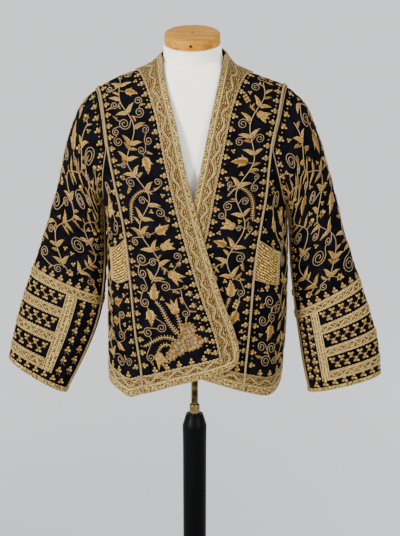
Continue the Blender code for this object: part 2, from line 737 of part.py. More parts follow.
def build_sleeve(name, side, loop, loop_angle, sections, folds, strip_column, wool, gold):
    """A sleeve with the gold comb, strip and edging of its cuff."""
    grid, rings = sleeve_grid(side, loop, loop_angle, sections, folds)
    add_wall(f"sleeve_{name}", grid, -CLOTH, 0.0, None, wool, closed=True)
    low, high = TRIM_GAP, TRIM_GAP + TRIM
    seam = SEAM_GAP / 2
    inner = len(CUFF_ANGLES) - 1

    def rows(edges):
        return rings.index(edges[0]), rings.index(edges[1])

    def band(band_name, first, last, edges, trims):
        start, end = rows(edges)
        columns = wrap(grid, first, last)
        piece = columns[0][:, start : end + 1], columns[1][:, start : end + 1]
        add_wall(band_name, piece, low, high, trims, gold)

    band(f"cuff_edging_{name}", inner, inner + 1, (0.0, CUFF_EDGING), (seam, seam, 0, 0))
    for number, edges in enumerate(CUFF_BANDS, 1):
        top_band = number == len(CUFF_BANDS)
        first = inner if top_band else strip_column
        band(f"cuff_band_{name}_{number}", first, inner + 1, edges, (seam, seam, 0, 0))
    strip = wrap(grid, strip_column + 1, strip_column)
    start, end = rings.index(CUFF_BANDS[0][0]), rings.index(CUFF_BANDS[-1][0])
    piece = strip[0][:, start : end + 1], strip[1][:, start : end + 1]
    add_wall(f"cuff_strip_{name}", piece, low, high, (0, seam, 0, seam), gold)


def inside_jacket(x, y, z):
    """True where a point is inside the jacket's outer face, with its neck opening closed over."""
    ridge = curve(SHOULDER_LINE, 1, x)
    way = np.where(y < 0, -1.0, 1.0)
    rise = np.clip((z - CHEST_LINE) / (ridge - CHEST_LINE), 0.0, 1.0)
    limit = section_depth(way, x, z) * np.sqrt(1 - rise**2)
    return (np.abs(y) < limit) & (z < ridge)


def form_radius(angles, height):
    """Distance of the form's skin from its middle line at one height, in each direction."""
    ahead, aside = np.sin(angles), np.cos(angles)
    inset = float(curve(FORM_INSET, 1, height))
    near, far = np.zeros(len(angles)), np.full(len(angles), 230.0)
    for _ in range(24):
        middle = (near + far) / 2
        x, y = aside * middle, ahead * middle
        inside = inside_jacket(x + np.sign(x) * inset, y + np.sign(y) * inset, height + inset)
        near, far = np.where(inside, middle, near), np.where(inside, far, middle)
    limit = FORM_SHOULDER / np.maximum(np.abs(aside), 1e-6)
    body = np.maximum(near, 1.0)
    body = (body**-FORM_ROUNDING + limit**-FORM_ROUNDING) ** (-1 / FORM_ROUNDING)
    if height < NECK_SECTIONS[0][0]:
        return body
    middle_x, middle_y, radius = (float(curve(NECK_SECTIONS, column, height)) for column in (1, 2, 3))
    across = aside * middle_x + ahead * middle_y
    neck = across + np.sqrt(across**2 - middle_x**2 - middle_y**2 + radius**2)
    return np.maximum(body, neck)


def tilted_ring(angles, radius, rise):
    """A ring about the neck's tilted axis, a rise above the neck's top."""
    tilt = math.radians(CAP_TILT)
    middle_x, middle_y = NECK_SECTIONS[-1][1:3]
    ring = []
    for angle in angles:
        forward = radius * math.sin(angle)
        x = middle_x + radius * math.cos(angle)
        y = middle_y + forward * math.cos(tilt) - rise * math.sin(tilt)
        ring.append((x, y, FORM_TOP + forward * math.sin(tilt) + rise * math.cos(tilt)))
    return ring


def build_form(linen, timber):
    """The limbless torso with a socket for its rod, and the turned cap on its neck."""
    angles = np.arange(FORM_COLUMNS) * 2 * math.pi / FORM_COLUMNS
    hole = ROD_RADIUS + ROD_CLEARANCE
    socket = (SOCKET_TOP, FORM_BOTTOM)
    rings = [[(hole * math.cos(a), hole * math.sin(a), height) for a in angles] for height in socket]
    for height in FORM_HEIGHTS:
        skin = form_radius(angles, height)
        rings.append([(r * math.cos(a), r * math.sin(a), height) for r, a in zip(skin, angles)])
    rings.append(tilted_ring(angles, NECK_SECTIONS[-1][3], 0.0))
    add_rings("torso", rings, linen)

    top = CAP_HEIGHT + SEAM_GAP
    profile = (
        (CAP_RADIUS - 1.0, SEAM_GAP),
        (CAP_RADIUS, SEAM_GAP + 1.0),
        (CAP_RADIUS, top - 2.0),
        (CAP_RADIUS - 2.0, top),
    )
    add_rings("neck_cap", [tilted_ring(angles, radius, rise) for radius, rise in profile], timber)


def add_rings(name, rings, material):
    """A closed solid through rings of points, with its first and last ring filled."""
    count = len(rings[0])
    vertices = [point for ring in rings for point in ring]
    faces = []
    for r in range(len(rings) - 1):
        for i in range(count):
            a, b = r * count + i, r * count + (i + 1) % count
            faces.append((a, b, b + count, a + count))
    last = (len(rings) - 1) * count
    faces.append(tuple(range(count))[::-1])
    faces.append(tuple(last + i for i in range(count)))
    add_object(name, vertices, faces, material)


def turned(name, profile, material, sides=ROUND_SIDES):
    """A round solid about the pole's axis from a profile of radius and height."""
    angles = [2 * math.pi * i / sides for i in range(sides)]
    add_rings(name, [[(r * math.cos(a), r * math.sin(a), z) for a in angles] for r, z in profile], material)


def build_stand(black, brass):
    """Round base, pole with a bore, clamp collar, and the rod that slides in them."""
    bore = ROD_RADIUS + ROD_CLEARANCE
    spigot = POLE_RADIUS - 8.0
    pole_foot = BASE_HEIGHT - 6.0
    base = (
        (BASE_RADIUS - 2.0, 0.0),
        (BASE_RADIUS, 2.0),
        (BASE_RADIUS, BASE_EDGE),
        (BASE_RADIUS - 6.0, BASE_EDGE + 4.0),
        (POLE_RADIUS + 16.0, BASE_HEIGHT - 2.0),
        (POLE_RADIUS + 10.0, BASE_HEIGHT),
        (spigot + SEAM_GAP, BASE_HEIGHT),
        (spigot + SEAM_GAP, pole_foot - SEAM_GAP),
    )
    turned("base", base, black, BASE_SIDES)
    pole = (
        (bore, BORE_BOTTOM),
        (bore, POLE_TOP),
        (POLE_TOP_RADIUS, POLE_TOP),
        (POLE_RADIUS, POLE_TOP - POLE_TAPER),
        (POLE_RADIUS, BASE_HEIGHT + SEAM_GAP),
        (spigot, BASE_HEIGHT + SEAM_GAP),
        (spigot, pole_foot),
    )
    turned("pole", pole, black)
    low, high = POLE_TOP + SEAM_GAP, POLE_TOP + SEAM_GAP + COLLAR_HEIGHT
    angles = [2 * math.pi * i / ROUND_SIDES for i in range(ROUND_SIDES)]
    profile = (
        (bore, low),
        (COLLAR_RADIUS, low),
        (COLLAR_RADIUS, high - 2.0),
        (COLLAR_RADIUS - 2.0, high),
        (bore, high),
    )
    outline = [[(r * math.cos(a), r * math.sin(a), z) for r, z in profile] for a in angles]
    vertices = [point for ring in outline for point in ring]
    count = len(profile)
    faces = []
    for i in range(ROUND_SIDES):
        for j in range(count):
            a, b = i * count + j, i * count + (j + 1) % count
            c, d = (i + 1) % ROUND_SIDES * count + (j + 1) % count, (i + 1) % ROUND_SIDES * count + j
            faces.append((a, b, c, d))
    add_object("collar", vertices, faces, brass)
    rod = (
        (ROD_RADIUS - 1.0, ROD_LOW),
        (ROD_RADIUS, ROD_LOW + 1.0),
        (ROD_RADIUS, ROD_HIGH - 1.0),
        (ROD_RADIUS - 1.0, ROD_HIGH),
    )
    turned("rod", rod, brass)


def main():
    for old in list(bpy.data.objects):
        bpy.data.objects.remove(old)
    wool = make_material("black_wool", (0.018, 0.018, 0.024), 0.95, 0.0)
    gold = make_material("gold_couching", (0.62, 0.43, 0.19), 0.5, 0.35)
    linen = make_material("form_cover", (0.80, 0.77, 0.71), 0.85, 0.0)
    timber = make_material("turned_timber", (0.55, 0.30, 0.11), 0.45, 0.0)
    black = make_material("black_stand", (0.012, 0.012, 0.013), 0.4, 0.0)
    brass = make_material("aged_brass", (0.42, 0.31, 0.14), 0.4, 0.9)

    fronts, sides, back_grid = build_body(wool, gold)
    last = len(back_grid[0]) - 1
    for name, side, column, sections, folds, strip_column in (
        ("right", -1, 0, RIGHT_SLEEVE, RIGHT_SLEEVE_FOLDS, RIGHT_STRIP),
        ("left", 1, last, LEFT_SLEEVE, LEFT_SLEEVE_FOLDS, LEFT_STRIP),
    ):
        loop, angle = armhole(fronts[name], sides[name], back_grid, column)
        build_sleeve(name, side, loop, angle, sections, folds, strip_column, wool, gold)
    build_form(linen, timber)
    build_stand(black, brass)


main()
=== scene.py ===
# %% [markdown]
# # An embroidered wool jacket on its dress form
#
# The jacket is black fulled wool, cut in seven panels: a back, two crossed fronts, two sides and two wide
# sleeves. Gold thread is laid on the cloth and sewn down, which is called couching: broad bands round every
# edge, combs on the cuffs, and scrolls with leaves, tulips and small trefoils all over.
#
# The frame gives every piece at its real size, as plain solids. This script keeps their places and makes
# their looks: it lays finer cloth over the same curved surfaces, draws the embroidery flat on each cut
# piece, as an embroiderer does before the jacket is sewn up, and then carries the drawing onto the cloth.

# %% Load the frame
import itertools
import json
import math
import random

import bmesh
import bpy
import numpy as np
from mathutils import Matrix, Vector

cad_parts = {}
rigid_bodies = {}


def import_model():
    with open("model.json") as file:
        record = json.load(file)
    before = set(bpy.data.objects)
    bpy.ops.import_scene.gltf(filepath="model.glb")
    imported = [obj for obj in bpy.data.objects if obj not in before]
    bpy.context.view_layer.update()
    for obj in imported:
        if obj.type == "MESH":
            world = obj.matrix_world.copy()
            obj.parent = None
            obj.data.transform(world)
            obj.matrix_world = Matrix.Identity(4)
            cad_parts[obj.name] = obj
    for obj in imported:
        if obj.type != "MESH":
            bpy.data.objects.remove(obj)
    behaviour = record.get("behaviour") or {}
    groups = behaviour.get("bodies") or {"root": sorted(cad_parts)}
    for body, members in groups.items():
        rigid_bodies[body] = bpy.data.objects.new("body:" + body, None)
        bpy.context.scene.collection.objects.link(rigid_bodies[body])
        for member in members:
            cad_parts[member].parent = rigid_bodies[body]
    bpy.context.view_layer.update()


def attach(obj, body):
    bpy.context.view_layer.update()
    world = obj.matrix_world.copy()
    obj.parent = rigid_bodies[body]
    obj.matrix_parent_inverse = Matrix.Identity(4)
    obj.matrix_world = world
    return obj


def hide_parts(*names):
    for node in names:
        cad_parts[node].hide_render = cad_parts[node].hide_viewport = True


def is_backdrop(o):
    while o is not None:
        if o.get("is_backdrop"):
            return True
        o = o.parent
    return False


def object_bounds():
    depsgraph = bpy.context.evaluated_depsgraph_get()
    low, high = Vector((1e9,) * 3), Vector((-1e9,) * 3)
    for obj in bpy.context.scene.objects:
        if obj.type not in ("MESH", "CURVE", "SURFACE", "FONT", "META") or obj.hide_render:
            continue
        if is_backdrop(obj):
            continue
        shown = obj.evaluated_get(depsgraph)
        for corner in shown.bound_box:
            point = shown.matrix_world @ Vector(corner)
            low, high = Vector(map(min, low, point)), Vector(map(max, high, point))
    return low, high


for old in list(bpy.data.objects):
    bpy.data.objects.remove(old)
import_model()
MM = 0.001

# %% [markdown]
# ## The shape of the body's cloth
#
# A worn jacket hangs from the shoulders, so its cloth could be draped by a simulation. Stiff, heavily
# embroidered wool hardly folds, though, and every band has to meet the next one. So the cloth is one
# smooth surface worked out from a few tables of sizes in millimetres, the same ones that the frame was
# built from. A table has a row for each height or place, and a smooth curve is read between its rows.

# %% Sizes of the body and its seams, in millimetres

# Cloth and trimming
CLOTH = 2.0
TRIM_GAP = 0.3
SEAM_GAP = 0.3
# How far the front on top stands off the one below, where that starts and over what width
WRAP_LIFT = 5.0
WRAP_START = 119.0
WRAP_RAMP = 36.0

# Shape of the body's cross-section: 2 is an ellipse, more is squarer
SQUARENESS = 2.6
SLEEVE_SQUARENESS = 2.25
CHEST_LINE = 1230.0

# height, half width on the wearer's right, half width on the wearer's left, front depth, back depth
BODY_SECTIONS = (
    (760, 171, 172, 117, 112), (820, 172, 176.5, 120, 112), (872, 173, 181.5, 122, 110),
    (956, 173, 185, 124, 108), (1060, 173.5, 186, 124, 106), (1151, 178, 184, 122, 107),
    (1230, 197, 194, 119, 110), (1300, 203, 198, 118, 110), (1400, 204, 199, 118, 110),
)

# distance from the middle, height of the shoulder's top line
SHOULDER_LINE = (
    (-220, 1352), (-191.5, 1380), (-150, 1405), (-111, 1419.5), (-95, 1426), (-80, 1435), (-72, 1441.5),
    (-64, 1450.5), (0, 1462), (60, 1452), (66, 1444.5), (75, 1433), (93, 1423), (132, 1407.5),
    (179, 1389.5), (215, 1362),
)
NECK_MIDDLE = -2.0
NECK_HALF = 62.0
NECK_BACK = 66.0
NECK_BACK_HEIGHT = 1446.0
NECK_TURN = 35.0
# How far the gold band behind the neck clears the back
NECK_BAND_LIFT = 0.9

# level, front edge of the wearer's right front, front seam of that front
RIGHT_EDGE = (
    (0, 91), (0.05, 94), (0.167, 87.6), (0.403, 59.3), (0.727, 22), (0.953, -1.7), (1.04, -10),
    (1.289, -29), (1.52, -48), (1.65, -54.5), (2, -64),
)
LEFT_EDGE = (
    (0, -74), (0.05, -77), (0.167, -70), (0.403, -43), (0.727, -7), (0.953, 10.4), (1.06, 19),
    (1.289, 34.5), (1.52, 48.5), (1.65, 54), (2, 60),
)
RIGHT_SEAM = (
    (0, -96), (0.10, -100), (0.29, -112), (0.50, -120.6), (0.73, -132), (0.87, -143), (0.975, -153),
    (1.17, -164), (1.44, -173.6), (2, -191.5),
)
LEFT_SEAM = (
    (0, 104), (0.10, 107.5), (0.23, 113), (0.39, 118.6), (0.56, 124), (0.67, 129.5), (0.79, 137),
    (0.92, 146), (1.07, 151), (1.20, 154.5), (1.44, 166), (2, 179),
)
# level, back seam on the wearer's right, on the left
BACK_SEAMS = (
    (0, -112, 112), (0.30, -120, 121), (0.60, -130, 134), (0.90, -148, 148), (1.17, -164, 155),
    (1.44, -173.6, 166), (2, -191.5, 179),
)
# level, width of the gold band along a front edge
FRONT_BAND = ((0, 37), (1.2, 36), (1.5, 33), (1.75, 39), (2, 49))
BRAID_WIDTH = 10.0

# distance from the middle, height of the hem
RIGHT_HEM = ((-97, 789.5), (-82, 794), (-42, 808), (17, 825), (78, 847), (95, 858))
LEFT_HEM = ((-80, 858), (-60, 850), (18, 825), (78, 805), (104, 795.5))
# share of the way round a side, height of the hem there
RIGHT_SIDE_HEM = ((0, 789.5), (0.1, 778), (0.22, 787), (0.5, 797), (1, 800))
LEFT_SIDE_HEM = ((0, 795.5), (0.23, 779.5), (0.5, 799), (1, 800))
BACK_HEM = ((-112, 800), (0, 806), (112, 800))

HEM_BAND_LEVEL = 0.085
POCKET_LOW_LEVEL = 0.53
POCKET_HIGH_LEVEL = 0.71
POCKET_ACROSS = 0.25
ARMHOLE_LEVEL = 1.19
NECK_BAND_LEVEL = 1.78
# Lower edge of the neck's band where it ends at the shoulders
NECK_BAND_ENDS = 1.9175

# Underarm
UNDERARM = 1155.0
UNDERARM_SHAPE = 2.2
UNDERARM_PULL = 3.0

# Folds of a side and of the back: across and level at the start, then at the end, depth, half width
SIDE_FOLDS = ((0.38, 1.00, 0.33, 0.10, -4, 14), (0.68, 1.05, 0.72, 0.10, -5, 16))
BACK_FOLDS = (
    (0.16, 1.45, 0.25, 0.15, -4, 20), (0.84, 1.45, 0.76, 0.15, -4, 20), (0.48, 0.80, 0.50, 0.05, -3, 24),
)


# %% Read the tables, and a few sums used throughout
def hermite(t, start, lead, goal, arrive):
    """Point at t, from 0 to 1, of a curve that leaves start along lead and comes to goal along arrive."""
    near = (2 * t**3 - 3 * t**2 + 1) * start + (t**3 - 2 * t**2 + t) * lead
    return near + (3 * t**2 - 2 * t**3) * goal + (t**3 - t**2) * arrive


def curve(table, column, at):
    """Reads a smooth curve through one column of a table, at values of the table's first column."""
    table = np.array(table, float)
    knots, values = table[:, 0], table[:, column]
    at = np.clip(at, knots[0], knots[-1])
    cell = np.clip(np.searchsorted(knots, at, side="right") - 1, 0, len(knots) - 2)
    span = knots[cell + 1] - knots[cell]
    slopes = np.gradient(values, knots)
    lead, arrive = slopes[cell] * span, slopes[cell + 1] * span
    return hermite((at - knots[cell]) / span, values[cell], lead, values[cell + 1], arrive)


def clamp(value):
    return np.clip(value, 0, 1)


def smooth_step(value):
    value = clamp(value)
    return value * value * (3 - 2 * value)


def pairs(a, b):
    return np.stack(np.broadcast_arrays(a, b), -1)


def unit(vectors):
    """The same directions with a length of 1."""
    return vectors / np.maximum(np.linalg.norm(vectors, axis=-1, keepdims=True), 1e-12)


def lengths(path):
    """Distance of each point of a path from its start; a grid of points is a path of rows."""
    steps = np.cumsum(np.linalg.norm(np.diff(path, axis=0), axis=-1), axis=0)
    return np.concatenate([np.zeros_like(steps[:1]), steps])


# %% The body's cross-section, and the sheet of cloth round it
def half_width(x_side, height):
    """Half width of the body on the side that x_side points to: -1 is the wearer's right."""
    right, left = curve(BODY_SECTIONS, 1, height), curve(BODY_SECTIONS, 2, height)
    return np.where(np.asarray(x_side) < 0, right, left)


def depth(way, height):
    """Depth of the body at the middle; way is -1 in front and 1 at the back."""
    return np.where(np.asarray(way) < 0, curve(BODY_SECTIONS, 3, height), curve(BODY_SECTIONS, 4, height))


def section_depth(way, x, height):
    share = clamp(np.abs(x) / half_width(x, height))
    return depth(way, height) * (1 - share**SQUARENESS) ** (1 / SQUARENESS)


def sheet_point(way, x, level, hem):
    """Point of the cloth in front (way -1) or at the back (way 1), x from the middle."""
    x, level = np.broadcast_arrays(np.asarray(x, float), np.asarray(level, float))
    ridge = curve(SHOULDER_LINE, 1, x)
    inside_neck = clamp(1 - ((x - NECK_MIDDLE) / NECK_HALF) ** 2) * (way > 0)
    top_y = NECK_BACK * np.sqrt(inside_neck)
    top_z = ridge + (NECK_BACK_HEIGHT - ridge) * inside_neck
    end = np.radians(90 - NECK_TURN * inside_neck)
    turn = end * clamp(level - 1)
    hem_z = curve(hem, 1, x)
    low_z = hem_z + (CHEST_LINE - hem_z) * np.minimum(level, 1)
    z = np.where(level <= 1, low_z, CHEST_LINE + (top_z - CHEST_LINE) * np.sin(turn) / np.sin(end))
    arch = (np.cos(turn) - np.cos(end)) / (1 - np.cos(end))
    y = way * (top_y + (section_depth(way, x, z) - top_y) * arch)
    return np.stack([x, y, z], -1)


def fold_depth(folds, across, level, across_mm, level_mm):
    """Depth of all the folds in a table at a point, measured in millimetres along the surface."""
    total = np.zeros(np.broadcast(across, level).shape)
    for start_a, start_l, end_a, end_l, fold, width in folds:
        along_a = (end_a - start_a) * across_mm
        along_l = (end_l - start_l) * level_mm
        to_a = (across - start_a) * across_mm
        to_l = (level - start_l) * level_mm
        length = math.hypot(along_a, along_l)
        share = (to_a * along_a + to_l * along_l) / length**2
        aside = (to_a * along_l - to_l * along_a) / length
        ends = smooth_step(share / 0.3 + 0.3) * smooth_step((1 - share) / 0.3 + 0.3)
        total = total + fold * np.exp(-((aside / width) ** 2)) * ends
    return total


# %% The two fronts and the back
def front_x(edge, seam, side, across, level):
    """Across is 0 at the front edge, 1 past the braid, 2 past the gold band and 3 at the front seam."""
    edge_x = curve(edge, 1, level)
    braid_x = edge_x + side * BRAID_WIDTH
    band_x = edge_x + side * curve(FRONT_BAND, 1, level)
    seam_x = curve(seam, 1, level)
    first = edge_x + (braid_x - edge_x) * clamp(across)
    second = (band_x - braid_x) * clamp(across - 1)
    return first + second + (seam_x - band_x) * clamp(across - 2)


def right_front(across, level):
    """The wearer's right front, which laps over the left one."""
    point = sheet_point(-1, front_x(RIGHT_EDGE, RIGHT_SEAM, -1, across, level), level, RIGHT_HEM)
    near_edge = smooth_step((point[..., 0] + WRAP_START) / WRAP_RAMP)
    below_neck = smooth_step((1400 - point[..., 2]) / 130)
    point[..., 1] -= WRAP_LIFT * near_edge * below_neck
    return point


def left_front(across, level):
    return sheet_point(-1, front_x(LEFT_EDGE, LEFT_SEAM, 1, across, level), level, LEFT_HEM)


def back(across, level):
    """Across is 0 at the seam on the wearer's right and 1 at the other."""
    right_x = curve(BACK_SEAMS, 1, level)
    left_x = curve(BACK_SEAMS, 2, level)
    point = sheet_point(1, right_x + (left_x - right_x) * across, level, BACK_HEM)
    fade = smooth_step(np.minimum(across, 1 - across) / 0.08)
    point[..., 1] += fold_depth(BACK_FOLDS, across, level, 320, 430) * fade
    return point


# %% The panels under the arms
def section_angle(point):
    """Angle round the body's cross-section of a point: 90 degrees is straight ahead."""
    x, y, z = np.moveaxis(point, -1, 0)
    share = clamp(np.abs(x) / half_width(x, z))
    angle = np.arccos(share ** (SQUARENESS / 2))
    return np.where(y < 0, angle, -angle)


def side_panel(side, across, level):
    """The panel under an arm; across is 0 at the front seam and 1 at the back seam."""
    seam, hem, side_hem = LEFT_SEAM, LEFT_HEM, LEFT_SIDE_HEM
    if side < 0:
        seam, hem, side_hem = RIGHT_SEAM, RIGHT_HEM, RIGHT_SIDE_HEM
    back_column = 1 if side < 0 else 2

    def seams(at):
        front = sheet_point(-1, curve(seam, 1, at), at, hem)
        return front, sheet_point(1, curve(BACK_SEAMS, back_column, at), at, BACK_HEM)

    across, level = np.broadcast_arrays(np.asarray(across, float), np.asarray(level, float))
    front, rear = seams(level)
    front_low, rear_low = seams(np.zeros_like(level))
    front_top, rear_top = seams(np.full_like(level, ARMHOLE_LEVEL))

    def between(a, b):
        return a[..., 2] + (b[..., 2] - a[..., 2]) * across

    low, top, here = between(front_low, rear_low), between(front_top, rear_top), between(front, rear)
    risen = (here - low) / (top - low)
    underarm = UNDERARM + (top - UNDERARM) * np.abs(2 * across - 1) ** UNDERARM_SHAPE
    z = here + (curve(side_hem, 1, across) - low) * (1 - risen) - (top - underarm) * risen**UNDERARM_PULL
    angle_front, angle_rear = section_angle(front), section_angle(rear)
    angle = angle_front + (angle_rear - angle_front) * across
    aside, ahead, power = np.abs(np.cos(angle)), np.abs(np.sin(angle)), 2 / SQUARENESS
    reach = half_width(side, z) * aside**power
    rise = clamp((z - CHEST_LINE) / (curve(SHOULDER_LINE, 1, side * reach) - CHEST_LINE))
    way = np.where(angle > 0, -1, 1)
    fade = smooth_step(np.minimum(across, 1 - across) / 0.1)
    fold = fold_depth(SIDE_FOLDS, across, level, 210, 430) * fade
    y = way * (depth(way, z) * np.sqrt(1 - rise**2) * ahead**power + fold * ahead)
    return np.stack([side * (reach + fold * aside), y, z], -1)


def right_side(across, level):
    return side_panel(-1, across, level)


def left_side(across, level):
    return side_panel(1, across, level)

# %% [markdown]
# ## The shape of the sleeves
#
# Each sleeve is a wide tube that hangs from its armhole and flattens towards the cuff. Its rings are
# squarish ovals between an outer and an inner line, and the last stretch is a smooth bridge to the
# armhole's own curve, so that no seam opens there.

# %% Sizes of the sleeves, in millimetres

# outer edge x, z, inner edge x, z, half depth, forward shift; from the shoulder down to the cuff
RIGHT_SLEEVE = (
    (-230, 1336, -178.5, 1141, 73, 0), (-245.4, 1296, -178, 1130, 66, 1), (-256, 1257, -177, 1117, 60, 2),
    (-266, 1207, -176, 1095, 54, 4), (-279.4, 1158.8, -175.4, 1063.6, 50, 6),
    (-296.5, 1099.2, -175.8, 1022.3, 47, 8), (-317, 1037, -179, 974, 45, 9),
    (-335, 986, -187, 928, 43, 9), (-351.5, 933, -203, 878, 41, 8), (-365, 880, -229, 820, 39, 7),
    (-375.7, 829.5, -259.6, 759.5, 37, 6),
)
LEFT_SLEEVE = (
    (224.8, 1340, 184.5, 1143, 73, 0), (240.9, 1300, 186, 1132, 66, -2), (255.3, 1258, 187, 1117, 60, -4),
    (267.6, 1214, 188, 1094, 54, -5), (280.2, 1166, 189, 1060.4, 50, -6),
    (295, 1108, 191.5, 1019.3, 47, -6), (313.5, 1047, 196.5, 971.7, 45, -5),
    (332, 993, 202.5, 926, 43, -4), (349.6, 939, 209.5, 880, 41, -2), (367.5, 876, 218, 826, 39, 0),
    (375.5, 807, 230.5, 768, 37, 2),
)
# distances from the cuff's end to the edges of its gold bands, end first
CUFF_EDGING = 9.0
CUFF_BANDS = ((23, 43), (77, 97), (131, 151), (185, 205))
# angle round the cuff of each column from the outer fold to the inner seam
CUFF_ANGLES = (0, 14, 28, 44, 60, 76, 92, 107, 120, 134, 148, 164, 180)
# Column where the gold strip of each cuff starts
RIGHT_STRIP = 6
LEFT_STRIP = 7

# Folds of a sleeve: distance from the cuff and angle at the start, then at the end, depth, half width
RIGHT_SLEEVE_FOLDS = (
    (470, 62, 250, 118, -7, 17), (440, 100, 300, 150, -5, 14), (420, 35, 230, 60, 4, 20),
    (460, 300, 260, 245, -6, 17), (300, 285, 90, 262, -4, 20),
)
LEFT_SLEEVE_FOLDS = (
    (465, 70, 240, 128, -7, 16), (450, 38, 300, 60, -4, 16), (360, 95, 210, 138, -4, 13),
    (455, 292, 250, 240, -6, 17), (290, 280, 100, 268, -4, 20),
)


# %% Rings of a sleeve
def sleeve_shape(sections, folds):
    """Function of the angle round a sleeve and the distance from its cuff."""
    rings = np.array(sections[::-1], float)
    distances = lengths((rings[:, 0:2] + rings[:, 2:4]) / 2)
    table = np.column_stack([distances, rings])
    power = 2 / SLEEVE_SQUARENESS

    def shape(angle, distance):
        values = [curve(table, column, distance) for column in range(1, 7)]
        outer_x, outer_z, inner_x, inner_z, half_depth, forward = values
        c, s = np.cos(np.radians(angle)), np.sin(np.radians(angle))
        along = np.sign(c) * np.abs(c) ** power
        ahead = np.sign(s) * np.abs(s) ** power
        fold = fold_depth(folds, angle, distance, 1.15, 1)
        x = (outer_x + inner_x) / 2 + (outer_x - inner_x) / 2 * along
        z = (outer_z + inner_z) / 2 + (outer_z - inner_z) / 2 * along
        y = -(half_depth + fold) * ahead - forward
        return np.stack([x, y, z], -1)

    return shape, distances[-1]

# %% A sleeve as one surface, from the cuff to the armhole
ARMHOLE_ROWS = (ARMHOLE_LEVEL, 1.33, 1.48, 1.63, NECK_BAND_LEVEL, 1.89, 2)
CUFF_TURN = np.array(CUFF_ANGLES + tuple(360 - angle for angle in CUFF_ANGLES[-2::-1]))


def armhole_point(side, turn):
    """Point of the armhole: turn runs from 0 on the shoulder, down the front, under the arm and up to 24."""
    front, seam_side, back_across = left_front, left_side, 1
    if side < 0:
        front, seam_side, back_across = right_front, right_side, 0
    down = np.interp(turn, np.arange(7), ARMHOLE_ROWS[::-1])
    under = clamp((turn - 6) / 12)
    up = np.interp(turn, np.arange(18, 25), ARMHOLE_ROWS)
    low = seam_side(under, np.full_like(turn, ARMHOLE_LEVEL))
    point = np.where((turn < 6)[..., None], front(3, down), low)
    return np.where((turn > 18)[..., None], back(np.full_like(turn, back_across), up), point)


def make_sleeve(side, sections, folds):
    """Function of the turn round a sleeve, from 0 to 24, and the distance from its cuff; and its length."""
    shape, top = sleeve_shape(sections, folds)
    ring = armhole_point(side, np.linspace(0, 24, 241))
    middle = (ring[0, 2] + np.min(ring[:, 2])) / 2
    half_height = (ring[0, 2] - np.min(ring[:, 2])) / 2
    half_depth = np.max(np.abs(ring[:, 1]))
    bridge = 34

    def sleeve(turn, distance):
        turn, distance = np.broadcast_arrays(np.asarray(turn, float) % 24, np.asarray(distance, float))
        start = armhole_point(side, turn)
        ahead, above = -start[..., 1] / half_depth, (start[..., 2] - middle) / half_height
        goal = np.degrees(np.arctan2(ahead, above)) % 360
        goal = np.where((turn < 4) & (goal > 270), goal - 360, goal)
        goal = np.where((turn > 20) & (goal < 90), goal + 360, goal)
        cuff = np.interp(turn, np.arange(25), CUFF_TURN)
        plain, below = CUFF_BANDS[-1][1], np.minimum(distance, top)
        point = shape(cuff + (goal - cuff) * smooth_step((below - plain) / (top - plain)), below)
        first = shape(goal, np.full_like(distance, top))
        tail = unit(first - shape(goal, np.full_like(distance, top - 1)))
        reach = np.linalg.norm(first - start, axis=-1, keepdims=True)
        lead = np.array([side, 0, -0.75])
        t = clamp(1 - (distance - top) / bridge)[..., None]
        curved = hermite(t, start, lead * reach, first, -tail * reach)
        return np.where((distance > top)[..., None], curved, point)

    return sleeve, top + bridge


right_sleeve, right_reach = make_sleeve(-1, RIGHT_SLEEVE, RIGHT_SLEEVE_FOLDS)
left_sleeve, left_reach = make_sleeve(1, LEFT_SLEEVE, LEFT_SLEEVE_FOLDS)
print("sleeves:", round(right_reach), "and", round(left_reach), "mm from cuff to armhole")

# %% [markdown]
# ## The flat pattern of each piece
#
# Embroidery is worked on flat cloth, so every motif below is drawn in flat millimetres: s runs across the
# piece and t runs up it. A pattern holds a fine grid of the curved surface with the s and t of each
# point, measured along the cloth, and carries anything that is drawn flat onto the worn jacket.


# %% Carry flat drawings onto the curved cloth
def facing_out(points, middle):
    """Outward normals of a grid of points."""
    normals = unit(np.cross(np.gradient(points, axis=0), np.gradient(points, axis=1)))
    facing = np.sum(normals * (points - middle), axis=-1, keepdims=True)
    return normals * np.where(facing < 0, -1, 1)


